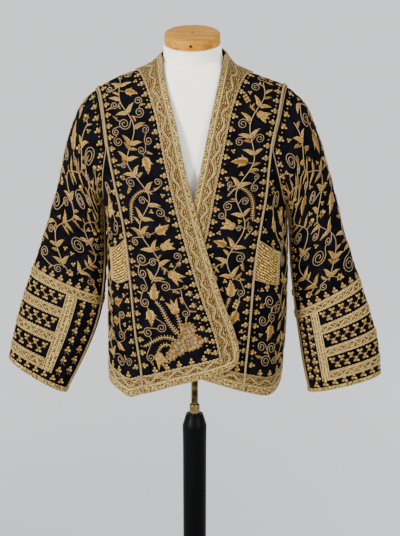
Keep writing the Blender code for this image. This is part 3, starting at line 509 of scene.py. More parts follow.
class Pattern:
    """A cut piece of cloth: its curved surface, and the flat place of each of its points."""

    def __init__(self, points, columns, rows, start, middle=(0, 0, 1150)):
        self.points, self.normals = points, facing_out(points, np.asarray(middle, float))
        self.columns, self.rows = np.asarray(columns, float), np.asarray(rows, float)
        first = int(np.argmin(np.abs(self.columns - start)))
        across = lengths(points)
        self.s, self.t = across - across[first], lengths(points[first])

    def height(self, row):
        """The flat t of a row of the surface."""
        return np.interp(row, self.rows, self.t)

    def across(self, column, t):
        """The flat s of a column of the surface, at a height t."""
        cell = np.clip(np.searchsorted(self.columns, column, side="right") - 1, 0, len(self.columns) - 2)
        share = (column - self.columns[cell]) / (self.columns[cell + 1] - self.columns[cell])
        return np.interp(t, self.t, self.s[cell] * (1 - share) + self.s[cell + 1] * share)

    def place(self, s, t, lift=0):
        """Points of the worn cloth for flat places, lifted off it, and the cloth's normals there."""
        flat = np.broadcast_arrays(s, t, lift)
        form, (s, t, lift) = flat[0].shape, (values.astype(float).ravel() for values in flat)
        row = np.clip(np.searchsorted(self.t, t, side="right") - 1, 0, len(self.t) - 2)
        up = clamp((t - self.t[row]) / (self.t[row + 1] - self.t[row]))
        line = self.s[:, row] * (1 - up) + self.s[:, row + 1] * up
        cell = np.clip((line <= s).sum(axis=0) - 1, 0, len(self.s) - 2)
        here, after = line[cell, np.arange(len(s))], line[cell + 1, np.arange(len(s))]
        along = clamp((s - here) / np.maximum(after - here, 1e-9))[:, None]
        up = up[:, None]

        def mix(grid):
            low = grid[cell, row] * (1 - along) + grid[cell + 1, row] * along
            return low * (1 - up) + (grid[cell, row + 1] * (1 - along) + grid[cell + 1, row + 1] * along) * up

        normal = unit(mix(self.normals))
        return (mix(self.points) + normal * lift[:, None]).reshape(*form, 3), normal.reshape(*form, 3)

    def area(self):
        """Area of the cloth in square millimetres."""
        a, b = np.diff(self.points, axis=0)[:, :-1], np.diff(self.points, axis=1)[:-1]
        return float(np.linalg.norm(np.cross(a, b), axis=-1).sum())


# %% Lay out the grid of a pattern
def even(first, last, step):
    """Evenly spread values from first to last, about a step apart."""
    return np.linspace(first, last, max(2, round(abs(last - first) / step) + 1))


def body_pattern(shape, columns, rows, start):
    a, b = np.meshgrid(columns, rows, indexing="ij")
    return Pattern(shape(a, b), columns, rows, start)


def sleeve_pattern(name, turns, distances, start):
    shape, _ = sleeves[name]
    a, b = np.meshgrid(turns, distances, indexing="ij")
    middle = np.mean(shape(np.arange(24)[:, None], distances[None, :]), axis=0)
    return Pattern(shape(a, b), turns, distances, start, middle)


# %% The patterns of the seven panels
FINE = 6.0
LEVEL_MM = 330.0
fronts = {"right": right_front, "left": left_front}
sides = {"right": right_side, "left": left_side}
sleeves = {"right": (right_sleeve, right_reach), "left": (left_sleeve, left_reach)}
levels = even(0, 2, FINE / LEVEL_MM)
side_levels = even(0, ARMHOLE_LEVEL, FINE / LEVEL_MM)
patterns = {"back": body_pattern(back, even(0, 1, 0.016), levels, 0.5)}
for name in ("right", "left"):
    columns = np.concatenate([even(0, 2, 0.25), even(2, 3, 0.05)[1:]])
    patterns[f"front_{name}"] = body_pattern(fronts[name], columns, levels, 2.5)
    patterns[f"side_{name}"] = body_pattern(sides[name], even(0, 1, 0.03), side_levels, 0.5)
    distances = even(0, sleeves[name][1], FINE)
    patterns[f"sleeve_{name}"] = sleeve_pattern(name, even(-12, 12, 0.25), distances, 0)
for name, pattern in patterns.items():
    width = np.max(pattern.s[-1] - pattern.s[0])
    print(f"{name}: {width:.0f} x {pattern.t[-1]:.0f} mm, {pattern.area() / 1e6:.3f} square metres")

# %% [markdown]
# ## Finishes
#
# Every finish is a small tree of nodes. Threads are drawn as waves in the flat millimetres of a piece's
# own UV map, where u runs along the thread or band and v across it, so that they follow the cloth round
# every curve. Cords and leaves also carry a number called tone, from 0 for dull to 1 for bright, because
# gold thread of that age has tarnished unevenly.


# %% A short way to write a tree of nodes
class Finish:
    """A material and its node tree, with one method for each kind of node that is used here."""

    def __init__(self, name, roughness, metallic=0.0, specular=0.5):
        self.material = bpy.data.materials.new(name)
        self.material.use_nodes = True
        self.nodes = self.material.node_tree.nodes
        self.links = self.material.node_tree.links
        self.shader = self.nodes["Principled BSDF"].inputs
        self.set(self.shader, Roughness=roughness, Metallic=metallic, Specular_IOR_Level=specular)

    def set(self, sockets, **values):
        """Gives each named socket a value, or the output of another node."""
        for name, value in values.items():
            self.feed(sockets[name.replace("_", " ")], value)

    def feed(self, socket, value):
        if isinstance(value, bpy.types.NodeSocket):
            self.links.new(value, socket)
        else:
            socket.default_value = value

    def add(self, kind, **settings):
        node = self.nodes.new("ShaderNode" + kind)
        for name, value in settings.items():
            setattr(node, name, value)
        return node

    def math(self, operation, *values):
        node = self.add("Math", operation=operation)
        for socket, value in zip(node.inputs, values):
            self.feed(socket, value)
        return node.outputs[0]

    def times(self, a, b):
        return self.math("MULTIPLY", a, b)

    def plus(self, a, b):
        return self.math("ADD", a, b)

    def threads(self):
        """The flat place on the cloth: u along a thread or band and v across it."""
        return self.add("UVMap", uv_map="UVMap").outputs["UV"]

    def here(self):
        """The place in the frame."""
        return self.add("TexCoord").outputs["Object"]

    def split(self, vector):
        node = self.add("SeparateXYZ")
        self.feed(node.inputs[0], vector)
        return node.outputs

    def noise(self, vector, scale, detail=2.0, roughness=0.5):
        node = self.add("TexNoise")
        self.set(node.inputs, Vector=vector, Scale=scale, Detail=detail, Roughness=roughness)
        return node.outputs["Fac"]

    def tone(self):
        return self.add("Attribute", attribute_name="tone").outputs["Fac"]

    def wave(self, phase):
        """A smooth wave from 0 to 1 with a period of 1 in its phase."""
        return self.math("MULTIPLY_ADD", self.math("SINE", self.times(phase, math.tau)), 0.5, 0.5)

    def mix(self, share, a, b):
        node = self.add("Mix", data_type="RGBA")
        self.feed(node.inputs[0], share)
        for socket, color in zip(node.inputs[6:8], (a, b)):
            self.feed(socket, color if isinstance(color, bpy.types.NodeSocket) else (*color, 1.0))
        return node.outputs[2]

    def spread(self, value, low, high):
        """Stretches the part of a value between low and high over 0 to 1, smoothly."""
        node = self.add("MapRange", interpolation_type="SMOOTHSTEP")
        for socket, given in zip(node.inputs, (value, low, high)):
            self.feed(socket, given)
        return node.outputs[0]

    def color(self, value):
        self.set(self.shader, Base_Color=value)

    def bump(self, height, depth):
        """Raises the surface by up to a depth in millimetres, on top of any earlier bump."""
        node = self.add("Bump")
        self.set(node.inputs, Strength=1.0, Distance=depth * MM, Height=height)
        for below in self.shader["Normal"].links:
            self.set(node.inputs, Normal=below.from_socket)
        self.set(self.shader, Normal=node.outputs[0])


# %% Black fulled wool
def wool_finish():
    """Fulled wool: a soft nap that hides the weave, slightly uneven in its black."""
    finish = Finish("wool_cloth", 1.0, specular=0.04)
    place = finish.here()
    nap = finish.noise(place, 900.0, 3.0, 0.7)
    cloudy = finish.spread(finish.noise(place, 45.0), 0.3, 0.75)
    finish.color(finish.mix(cloudy, (0.0012, 0.0012, 0.0020), (0.0034, 0.0034, 0.0052)))
    finish.bump(nap, 0.35)
    return finish.material


# %% Gold threads laid side by side: braided, wavy and slanting
BRAID_ROW = 5.0
WAVE_PERIOD = 38.0
WAVE_REACH = 5.0
POCKET_ROW = 4.6
DARK_GOLD = (0.040, 0.018, 0.005)
GOLD_GLOSS = 0.15


def gold_finish(name, lay, width, bundled, gold, bright_and_glint_gold):
    """Couched gold threads; lay works out from u and v, in millimetres, where each thread runs. A speckle a
    few millimetres across mixes in a brighter gold, partly as uneven tarnish and partly as painted glints.
    """
    finish = Finish(name, 0.45, 0.32, GOLD_GLOSS)
    place = finish.threads()
    u, v, _ = finish.split(place)
    u, v = (finish.times(value, 1 / MM) for value in (u, v))
    drift = finish.plus(lay(finish, u, v), finish.noise(place, 260.0, 1.0))
    run = finish.times(drift, 1 / width)
    height = finish.wave(run)
    bundle = finish.spread(finish.wave(finish.times(run, 1 / 3)), 0.05, 0.65)
    groove = finish.math("MULTIPLY_ADD", bundle, bundled, 1 - bundled)
    # Uneven tarnish and painted glints: small spots of the brighter gold.
    mottle = finish.spread(finish.noise(place, 250.0, 3.0, 0.8), 0.42, 0.62)
    body = finish.mix(groove, DARK_GOLD, finish.mix(mottle, gold, bright_and_glint_gold))
    finish.color(finish.mix(finish.spread(height, 0.05, 0.7), DARK_GOLD, body))
    finish.bump(height, 0.6)
    finish.bump(bundle, 0.5)
    finish.bump(mottle, 0.5)
    return finish.material


def braided(finish, u, v):
    """Rows of slanting threads that turn back at each row's edge, like the plaits of a braid."""
    row = finish.math("FRACT", finish.times(v, 1 / (2 * BRAID_ROW)))
    return finish.plus(u, finish.times(finish.math("PINGPONG", row, 0.5), 2 * BRAID_ROW))


def wavy(finish, u, v):
    """Threads along the band that follow its wave."""
    wave = finish.math("SINE", finish.times(u, math.tau / WAVE_PERIOD))
    return finish.math("MULTIPLY_ADD", wave, -0.7 * WAVE_REACH, v)


def slanting(finish, u, v):
    return finish.plus(finish.times(u, 0.62), finish.times(v, 0.78))


def in_rows(finish, u, v):
    """Thick rows, as wide as the pocket's; the dark of the finish falls in their grooves."""
    return finish.math("SUBTRACT", v, POCKET_ROW / 4 + 0.5)


# %% Cord, satin stitch and small blossoms
def cord_finish():
    """A cord of two twisted threads; its tone runs from deep gold over tarnished beige to bright gilt."""
    finish = Finish("gilt_cord", 0.45, 0.28, GOLD_GLOSS)
    place = finish.threads()
    u, v, _ = finish.split(place)
    twist = finish.wave(finish.math("MULTIPLY_ADD", u, 1 / (2.4 * MM), finish.times(v, 2.0)))
    tone = finish.tone()
    dull = finish.mix(finish.spread(tone, 0.0, 0.5), (0.20, 0.085, 0.012), (0.38, 0.275, 0.145))
    body = finish.mix(finish.spread(tone, 0.5, 1.0), dull, (1.0, 0.74, 0.28))
    spots = finish.spread(finish.noise(place, 160.0), 0.25, 0.6)
    mottle = finish.mix(spots, (0.19, 0.115, 0.045), body)
    finish.color(finish.mix(finish.spread(twist, 0.0, 0.35), (0.09, 0.05, 0.02), mottle))
    finish.bump(twist, 0.3)
    return finish.material


def satin_finish():
    """Satin stitch: silk-fine gold threads side by side, slanting from a leaf's vein to its edge."""
    finish = Finish("satin_gold", 0.42, 0.22, GOLD_GLOSS)
    place = finish.threads()
    u, v, _ = finish.split(place)
    slanted = finish.plus(u, finish.times(finish.math("ABSOLUTE", v), 0.8))
    threads = finish.wave(finish.times(slanted, 1 / MM))
    body = finish.mix(finish.tone(), (0.20, 0.084, 0.006), (0.84, 0.56, 0.16))
    spots = finish.spread(finish.noise(place, 330.0, roughness=0.6), 0.36, 0.6)
    mottle = finish.mix(spots, (0.12, 0.052, 0.010), body)
    finish.color(finish.mix(finish.spread(threads, 0.0, 0.5), (0.10, 0.045, 0.012), mottle))
    finish.bump(threads, 0.25)
    return finish.material


wool = wool_finish()
# The last colour of each gold finish is its brighter gold, speckled in as painted glints and as uneven
# tarnish.
braid = gold_finish("gold_braid", braided, 4.2, 0.0, (0.080, 0.038, 0.007), (0.99, 0.74, 0.235))
waves = gold_finish("gold_waves", wavy, 1.5, 1.0, (0.095, 0.038, 0.006), (0.98, 0.68, 0.195))
slants = gold_finish("gold_slants", slanting, 1.5, 1.0, (0.095, 0.042, 0.006), (0.98, 0.70, 0.20))
rows = gold_finish("gold_rows", in_rows, POCKET_ROW, 0.0, (0.12, 0.056, 0.009), (0.98, 0.67, 0.18))
gilt, satin = cord_finish(), satin_finish()
print("finishes:", [material.name for material in (wool, braid, waves, slants, rows, gilt, satin)])

# %% [markdown]
# ## Meshes from grids, and Geometry Nodes for what repeats
#
# Cloth and bands are grids of points, closed round their edges into thin walls. Cords follow hundreds of
# paths and blossoms repeat by the thousand, so those are made by two Geometry Nodes trees: one turns drawn
# lines into round cords, the other sets a copy of a small stitched motif on each point.


# %% Turn grids into closed walls
def into_scene(name, mesh):
    piece = bpy.data.objects.new(name, mesh)
    bpy.context.scene.collection.objects.link(piece)
    return piece


def write(mesh, label, values, kind="FLOAT"):
    """Gives each point of a mesh a number, or a vector."""
    data = mesh.attributes.new(label, kind, "POINT").data
    data.foreach_set("value" if kind == "FLOAT" else "vector", np.asarray(values, float).ravel())


def new_piece(name, vertices, faces, uv, materials, tone=None, indices=None):
    """A mesh object in metres from millimetres, with a UV map and, if asked, a tone for each point."""
    mesh = bpy.data.meshes.new(name)
    mesh.from_pydata((np.asarray(vertices, float) * MM).tolist(), [], faces)
    corners = np.empty(len(mesh.loops), np.int32)
    mesh.loops.foreach_get("vertex_index", corners)
    layer = mesh.uv_layers.new(name="UVMap")
    layer.data.foreach_set("uv", (np.asarray(uv, float)[corners] * MM).ravel())
    if tone is not None:
        write(mesh, "tone", tone)
    for material in materials:
        mesh.materials.append(material)
    if indices is not None:
        mesh.polygons.foreach_set("material_index", np.asarray(indices, np.int32))
    mesh.shade_smooth()
    return into_scene(name, mesh)


def face_out(piece):
    """Turns every face of a closed mesh outwards."""
    mesh = bmesh.new()
    mesh.from_mesh(piece.data)
    bmesh.ops.recalc_face_normals(mesh, faces=mesh.faces)
    if mesh.calc_volume(signed=True) < 0:
        bmesh.ops.reverse_faces(mesh, faces=mesh.faces)
    mesh.to_mesh(piece.data)
    mesh.free()
    return piece


def wall(across, levels, closed=False):
    """Faces of a wall whose points are an outer grid followed by an inner one."""
    behind = across * levels
    faces = []
    for i in range(across if closed else across - 1):
        a, b, top = i * levels, (i + 1) % across * levels, levels - 1
        for j in range(top):
            faces.append((a + j, b + j, b + j + 1, a + j + 1))
            faces.append((a + j + behind, a + j + 1 + behind, b + j + 1 + behind, b + j + behind))
        faces.append((a, a + behind, b + behind, b))
        faces.append((a + top, b + top, b + top + behind, a + top + behind))
    if not closed:
        for j in range(levels - 1):
            last = (across - 1) * levels + j
            faces.append((j, j + 1, j + 1 + behind, j + behind))
            faces.append((last, last + behind, last + 1 + behind, last + 1))
    return faces


def walled(name, outer, inner, flat, materials, closed=False, second=None):
    """A wall between two grids of points; second(u, v) is true where it has its second material."""
    both = np.concatenate([flat.reshape(-1, 2)] * 2)
    faces = wall(*outer.shape[:2], closed)
    indices = second(*both[np.array(faces)].mean(axis=1).T) if second else None
    vertices = np.concatenate([outer.reshape(-1, 3), inner.reshape(-1, 3)])
    return face_out(new_piece(name, vertices, faces, both, materials, None, indices))


def cloth_piece(name, pattern, closed=False):
    """A panel of wool: the pattern's surface with the cloth's thickness behind it."""
    cut = slice(None, -1) if closed else slice(None)
    outer, inner = pattern.points[cut], (pattern.points - pattern.normals * CLOTH)[cut]
    return walled(name, outer, inner, pairs(pattern.s, pattern.t)[cut], [wool], closed)


# %% Sew up the seven panels
cloth = {}
for name, pattern in patterns.items():
    cloth[name] = cloth_piece(f"wool_{name}", pattern, closed=name.startswith("sleeve"))
    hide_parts(name)
print("wool panels:", {name: len(piece.data.polygons) for name, piece in cloth.items()})


# %% A Geometry Nodes tree that makes cords
class Tree:
    """A geometry tree with named inputs, and a short way to add a node that takes other nodes' outputs."""

    def __init__(self, name, **inputs):
        self.group = bpy.data.node_groups.new(name, "GeometryNodeTree")
        for label, kind in dict(Geometry="Geometry", **inputs).items():
            self.group.interface.new_socket(label, in_out="INPUT", socket_type="NodeSocket" + kind)
        self.group.interface.new_socket("Geometry", in_out="OUTPUT", socket_type="NodeSocketGeometry")
        self.given = self.group.nodes.new("NodeGroupInput").outputs

    def add(self, kind, sockets=(), **settings):
        """Adds a node; sockets are pairs of an input's name and its value, or another node's output."""
        node = self.group.nodes.new(kind)
        for name, value in settings.items():
            setattr(node, name, value)
        for name, value in sockets:
            if isinstance(value, bpy.types.NodeSocket):
                self.group.links.new(value, node.inputs[name])
            else:
                node.inputs[name].default_value = value
        return node.outputs

    def read(self, name, kind="FLOAT"):
        """The value that each point carries under a name."""
        return self.add("GeometryNodeInputNamedAttribute", [("Name", name)], data_type=kind)["Attribute"]

    def keep(self, geometry, value):
        """Works a value out before the geometry changes shape, and returns both."""
        node = self.group.nodes.new("GeometryNodeCaptureAttribute")
        node.capture_items.new("FLOAT", "Kept")
        self.group.links.new(geometry, node.inputs["Geometry"])
        self.group.links.new(value, node.inputs["Kept"])
        return node.outputs["Geometry"], node.outputs["Kept"]

    def finish(self, geometry):
        """Makes copies real, gives them their material and ends the tree."""
        real = self.add("GeometryNodeRealizeInstances", [("Geometry", geometry)])[0]
        paint = [("Geometry", real), ("Material", self.given["Finish"])]
        self.add("NodeGroupOutput", [("Geometry", self.add("GeometryNodeSetMaterial", paint)[0])])
        return self.group


def cord_tree():
    """Edges become round cords: each point's radius comes from its own attribute."""
    tree = Tree("Couched cord", Sides="Int", Finish="Material")
    line = tree.add("GeometryNodeMeshToCurve", [("Mesh", tree.given["Geometry"])])["Curve"]
    line, length = tree.keep(line, tree.add("GeometryNodeSplineParameter")["Length"])
    sides = [("Resolution", tree.given["Sides"]), ("Radius", 1.0)]
    ring = tree.add("GeometryNodeCurvePrimitiveCircle", sides)["Curve"]
    ring, turn = tree.keep(ring, tree.add("GeometryNodeSplineParameter")["Factor"])
    scale = tree.read("thickness")
    sweep = [("Curve", line), ("Profile Curve", ring), ("Scale", scale), ("Fill Caps", True)]
    cord = tree.add("GeometryNodeCurveToMesh", sweep)["Mesh"]
    flat = tree.add("ShaderNodeCombineXYZ", [("X", length), ("Y", turn)])[0]
    stored = tree.add(
        "GeometryNodeStoreNamedAttribute", domain="CORNER", data_type="FLOAT2",
        sockets=[("Geometry", cord), ("Name", "UVMap"), ("Value", flat)],
    )  # fmt: skip
    return tree.finish(tree.add("GeometryNodeSetShadeSmooth", [("Geometry", stored[0])])[0])


# %% A Geometry Nodes tree that sets a motif on each point
def motif_tree():
    """A copy of the motif stands on each point: up along its normal, with its stem along its heading."""
    tree = Tree("Small blossoms", Motif="Object", Finish="Material")
    motif = tree.add("GeometryNodeObjectInfo", [("Object", tree.given["Motif"])])["Geometry"]
    turn = tree.add(
        "FunctionNodeAxesToRotation", primary_axis="Z", secondary_axis="Y",
        sockets=[
            ("Primary Axis", tree.read("up", "FLOAT_VECTOR")),
            ("Secondary Axis", tree.read("heading", "FLOAT_VECTOR")),
        ],
    )["Rotation"]  # fmt: skip
    placed = [("Points", tree.given["Geometry"]), ("Instance", motif), ("Rotation", turn)]
    placed.append(("Scale", tree.read("size")))
    return tree.finish(tree.add("GeometryNodeInstanceOnPoints", placed)[0])


def grow(piece, tree, settings):
    """Runs a geometry tree on an object and keeps the result as its plain mesh."""
    modifier = piece.modifiers.new("grow", "NODES")
    modifier.node_group = tree
    for item in tree.interface.items_tree:
        if item.in_out == "INPUT" and item.name in settings:
            modifier[item.identifier] = settings[item.name]
    graph = bpy.context.evaluated_depsgraph_get()
    made = bpy.data.meshes.new_from_object(piece.evaluated_get(graph), depsgraph=graph)
    piece.modifiers.remove(modifier)
    piece.data = made
    return piece


cords_from_lines = cord_tree()
motifs_on_points = motif_tree()
print("geometry trees:", cords_from_lines.name, "and", motifs_on_points.name)

# %% [markdown]
# ## Drawing the embroidery
#
# The embroiderer first lays out large scrolls, then hangs leaves and tulips on their stems, and last fills
# what stays empty with small blossoms. The drawing below works in the same order. A field keeps a map of
# the free cloth in cells of one millimetre, so that no motif lands on another. Each scroll looks for the
# nearest stem, leaves it in a gentle curve and winds itself up. The random choices have a fixed seed.


# %% A drawing on one piece of cloth
class Drawing:
    """What is sewn on one piece of cloth, in its flat millimetres."""

    def __init__(self):
        self.lines, self.leaves, self.blossoms = [], [], []

    def line(self, points, radius, tone, lift=0.75):
        self.lines.append((np.asarray(points, float), radius, tone, lift))

    def leaf(self, start, heading, length, width, bend, tone):
        self.leaves.append((start, heading, length, width, bend, tone))

    def blossom(self, kind, s, t, heading, size):
        self.blossoms.append((kind, s, t, heading, size))


# %% The free cloth that a drawing fills
MANY = 10**6


class Field:
    """A map of the free cloth, with a cell for each square millimetre."""

    def __init__(self, low_s, high_s, low_t, high_t, is_free):
        self.low = np.array([low_s, low_t])
        s, t = np.meshgrid(np.arange(low_s, high_s), np.arange(low_t, high_t), indexing="ij")
        self.free = is_free(s, t)
        self.discs = {}

    def disc(self, radius):
        radius = max(1, round(radius))
        if radius not in self.discs:
            a, b = np.mgrid[-radius : radius + 1, -radius : radius + 1]
            inside = a**2 + b**2 <= radius**2
            self.discs[radius] = a[inside], b[inside]
        return self.discs[radius]

    def cells(self, point, radius):
        a, b = self.disc(radius)
        return a + round(point[0] - self.low[0]), b + round(point[1] - self.low[1])

    def inside(self, a, b):
        return (a >= 0) & (b >= 0) & (a < self.free.shape[0]) & (b < self.free.shape[1])

    def fits(self, point, radius):
        a, b = self.cells(point, radius)
        inside = self.inside(a, b)
        return bool(inside.all() and self.free[a, b].all())

    def take(self, points, radius):
        for point in points:
            a, b = self.cells(point, radius)
            inside = self.inside(a, b)
            self.free[a[inside], b[inside]] = False

    def room(self, half):
        """The cells whose whole square neighbourhood is free."""
        sums = np.zeros((self.free.shape[0] + 1, self.free.shape[1] + 1))
        sums[1:, 1:] = np.cumsum(np.cumsum(self.free, axis=0), axis=1)
        side = 2 * half + 1
        full = sums[side:, side:] - sums[:-side, side:] - sums[side:, :-side] + sums[:-side, :-side]
        return np.argwhere(full == side * side) + half

    def spots(self, dice, radius, most=MANY, batch=8):
        """Free places for a disc of a radius, in a random order, until there is no more room."""
        found, misses = [], 0
        while len(found) < most and misses < 2:
            cells = self.room(max(1, int(radius * 0.7)))
            placed = 0
            for _ in range(batch if len(cells) else 0):
                point = cells[dice.randrange(len(cells))] + self.low
                if len(found) < most and self.fits(point, radius):
                    self.take([point], radius)
                    found.append(point)
                    placed += 1
            misses = 0 if placed else misses + 1
        return found


# %% Curves that the needle follows
def direction(angle):
    return np.array([math.cos(angle), math.sin(angle)])


def direction_of(angles):
    return pairs(np.cos(angles), np.sin(angles))


def heading_of(run):
    return math.atan2(run[1], run[0])


def walk(path, at):
    """Points of a path at distances from its start."""
    length = lengths(path)
    return pairs(np.interp(at, length, path[:, 0]), np.interp(at, length, path[:, 1]))


def bridge_curve(start, lead, goal, arrive, step=3):
    """A smooth curve between two points that leaves and arrives in given directions."""
    reach = np.linalg.norm(goal - start)
    t = np.linspace(0, 1, max(3, round(reach / step) + 1))[:, None]
    return hermite(t, start, lead * reach, goal, arrive * reach)


def curl(centre, radius, angle, way, turns):
    """A spiral from its rim inwards; way is 1 for anticlockwise and -1 for clockwise."""
    sweep = np.linspace(0, 1, max(8, round(turns * 13)))
    shrink = radius * (0.16 + 0.84 * (1 - sweep) ** 0.85)
    angles = angle + way * sweep * turns * math.tau
    return centre + direction_of(angles) * shrink[:, None]


def scroll(start, lead, centre, radius, way, turns):
    """A stem that meets a circle at a tangent and winds up inside it."""
    away = start - centre
    reach = np.linalg.norm(away)
    angle = heading_of(away) + way * math.acos(min(1, radius / reach))
    rim = centre + direction(angle) * radius
    stem = bridge_curve(start, lead, rim, direction(angle + way * math.pi / 2))
    return stem, curl(centre, radius, angle, way, turns)[1:]


# %% Flowers and leaves that hang on the stems
CORD_RADIUS = 0.8
STEM_RADIUS = 0.95


def draw_tulip(drawing, base, heading, length, dice):
    """An open tulip from the side: three long petals that spread, and a small cup of leaves."""
    tone = dice.uniform(0.25, 0.55)
    for turn in (-1, 0, 1):
        petal = tone + abs(turn) * 0.2
        drawing.leaf(base, heading + turn * 0.3, length, length * 0.29, turn * 0.38, petal)
    for way in (-1, 1):
        drawing.leaf(base, heading + way * 1.05, length * 0.42, length * 0.14, -way * 1.2, tone + 0.2)


def draw_bud(drawing, base, heading, length, way, dice):
    """A closed bud: a pointed drop of satin stitch in a paler rim, with two sepals like horns."""
    tone = dice.uniform(0.1, 0.4)
    drawing.leaf(base, heading, length, length * 0.5, way * 0.6, tone)
    for side in (-1, 1):
        foot = base + direction(heading + side * 0.75) * length * 0.2
        drawing.leaf(foot, heading + side * 0.2, length * 0.46, length * 0.11, side * 1.2, tone + 0.5)


def draw_cluster(drawing, base, heading, length, dice):
    """A stack of round petals, two by two, with a smaller one in its middle."""
    ahead, aside = direction(heading), direction(heading + math.pi / 2)
    size = length / 24 * dice.uniform(0.95, 1.05)
    for row, width in ((0.2, 3.4), (0.5, 3.9), (0.8, 3.2)):
        for way in (-1, 1):
            petal = base + ahead * row * length + aside * way * width * size
            drawing.blossom("seed", *petal, heading, 1.35 * size)
    drawing.blossom("seed", *(base + ahead * length * 0.5), heading, 1.2 * size)


def draw_rosette(drawing, centre, heading, radius, dice):
    """A round flower of six petals about a seed."""
    tone = dice.uniform(0.35, 0.8)
    for angle in heading + np.arange(6) * math.tau / 6:
        drawing.leaf(centre + direction(angle) * radius * 0.2, angle, radius * 0.82, radius * 0.56, 0, tone)
    drawing.blossom("seed", *centre, heading, radius / 5)


def draw_spray(drawing, base, heading, length, way, dice):
    """A long curved leaf with a smaller one beside it."""
    tone = dice.uniform(0.15, 0.6)
    drawing.leaf(base, heading, length, length * 0.34, way * 1.1, tone)
    drawing.leaf(base, heading - way * 0.75, length * 0.5, length * 0.2, -way * 0.7, tone + 0.25)


def draw_frond(drawing, points, reach, tone):
    """A branch with a toothed edge: short teeth in pairs along a thick spine, smaller towards its tip."""
    drawing.line(points, STEM_RADIUS * 1.2, tone + 0.15)
    run = np.gradient(points, axis=0)
    for k in range(1, len(points) - 1):
        size = reach * (1 - 0.35 * k / len(points))
        heading = heading_of(run[k])
        for way in (-1, 1):
            drawing.leaf(points[k], heading + way * 1.15, size, size * 0.42, 0, tone + 0.2)


# %% Stems, and the motif at the end of one
def smooth_line(points, step=3):
    """A smooth curve through a few points, with a point about every step."""
    points = np.asarray(points, float)
    lead = np.gradient(points, axis=0)
    parts = []
    for k in range(len(points) - 1):
        reach = np.linalg.norm(points[k + 1] - points[k])
        t = np.linspace(0, 1, max(3, round(reach / step) + 1))[:, None]
        parts.append(hermite(t, points[k], lead[k], points[k + 1], lead[k + 1]))
    return np.concatenate([part[:-1] for part in parts[:-1]] + [parts[-1]])


def draw_kind(kind, drawing, spot, towards, radius, way, dice):
    """Draws a flower or leaf of one kind on its spot, and returns where its stem has to end."""
    heading = heading_of(towards)
    base = spot - towards * radius * (0.5 if kind == "rosette" else 0.95)
    if kind == "tulip":
        draw_tulip(drawing, base, heading, radius * 2, dice)
    elif kind == "bud":
        draw_bud(drawing, base, heading, radius * 2.1, way, dice)
    elif kind == "cluster":
        draw_cluster(drawing, base, heading, radius * 1.9, dice)
    elif kind == "spray":
        draw_spray(drawing, base, heading - way * 0.5, radius * 2, way, dice)
    else:
        draw_rosette(drawing, spot, heading, radius * 0.85, dice)
    return base


# %% Fill a field with scrolls
FAR = 1e9


def fill_with_scrolls(drawing, field, stems, seed, scale=1, gap=1.1, small=5.6):
    """Draws the stems, hangs scrolls, flowers and leaves on them, and fills the rest with small blossoms."""
    dice = random.Random(seed)
    anchors, leads, drawn = [], [], []

    def hang(points, share=1):
        points = np.asarray(points)
        last = max(2, round(len(points) * share))
        anchors.extend(points[1:last])
        leads.extend(unit(np.gradient(points, axis=0))[1:last])
        drawn.append(points)

    for stem in stems:
        drawing.line(stem, STEM_RADIUS, dice.uniform(0.4, 0.6))
        field.take(stem, 3)
        hang(stem)
    add_leaves(drawing, field, stems, dice, (28, 22), 11)
    kinds = []
    for radius, most, choices in (
        (17.5, 4, ("bud", "bud", "tulip")),
        (14.5, 5, ("bud", "tulip")),
        (12.8, MANY, (*["scroll"] * 5, "bud")),
        (10.6, MANY, (*["scroll"] * 4, "cluster")),
        (8.7, MANY, (*["scroll"] * 3, "spray")),
        (6.4, MANY, ("scroll", "spray", "rosette")),
    ):
        for spot in field.spots(dice, radius * scale + gap, most):
            kinds.append((spot, radius * scale, dice.choice(choices)))
    waiting = list(range(len(kinds)))
    reach = [(FAR, -1)] * len(kinds)
    seen = 0
    while waiting:
        fresh = np.asarray(anchors[seen:])
        if len(fresh):
            for k in waiting:
                away = np.linalg.norm(fresh - kinds[k][0], axis=1)
                away = np.where(away < kinds[k][1] + 1, FAR, away)
                nearest = int(np.argmin(away))
                if away[nearest] - kinds[k][1] < reach[k][0]:
                    reach[k] = (float(away[nearest]) - kinds[k][1], seen + nearest)
        seen = len(anchors)
        k = min(waiting, key=lambda item: reach[item][0])
        waiting.remove(k)
        if reach[k][0] > 60 * scale:
            continue
        spot, radius, kind = kinds[k]
        start, lead = anchors[reach[k][1]], leads[reach[k][1]]
        towards = unit(spot - start)
        way = 1 if lead[0] * towards[1] - lead[1] * towards[0] > 0 else -1
        if dice.random() < 0.2:
            way = -way
        lead = unit(lead * 0.9 + towards * 0.6)
        tone = dice.uniform(0.38, 0.62)
        if kind == "scroll":
            stem, spiral = scroll(start, lead, spot, radius * 0.93, way, 1 + radius / 16)
            drawing.line(np.concatenate([stem, spiral]), CORD_RADIUS, tone)
            hang(stem)
            hang(spiral, 0.35)
        else:
            base = draw_kind(kind, drawing, spot, towards, radius, way, dice)
            stem = bridge_curve(start, lead, base, towards)
            drawing.line(stem, CORD_RADIUS, tone)
            hang(stem)
        field.take(stem, 1)
    add_leaves(drawing, field, drawn, dice, (19, 13), 8)
    for spot in field.spots(dice, small):
        drawing.blossom("trefoil", *spot, dice.uniform(0, math.tau), 0.85)
    return len(kinds)


def add_leaves(drawing, field, stems, dice, sizes, every):
    """Curved leaves along the stems, on whichever side has room."""
    for stem in stems:
        run = np.gradient(stem, axis=0)
        for k in range(2, len(stem) - 1, every):
            heading = heading_of(run[k])
            for way in dice.sample((-1, 1), 2):
                angle = heading + way * dice.uniform(0.6, 0.9)
                for length in sizes:
                    middle = stem[k] + direction(angle) * length * 0.62
                    if field.fits(middle, length * 0.26):
                        field.take([middle, stem[k] + direction(angle) * length * 0.85], length * 0.22)
                        drawing.leaf(stem[k], angle, length, length * 0.34, way * 0.8, dice.uniform(0.2, 0.7))
                        break


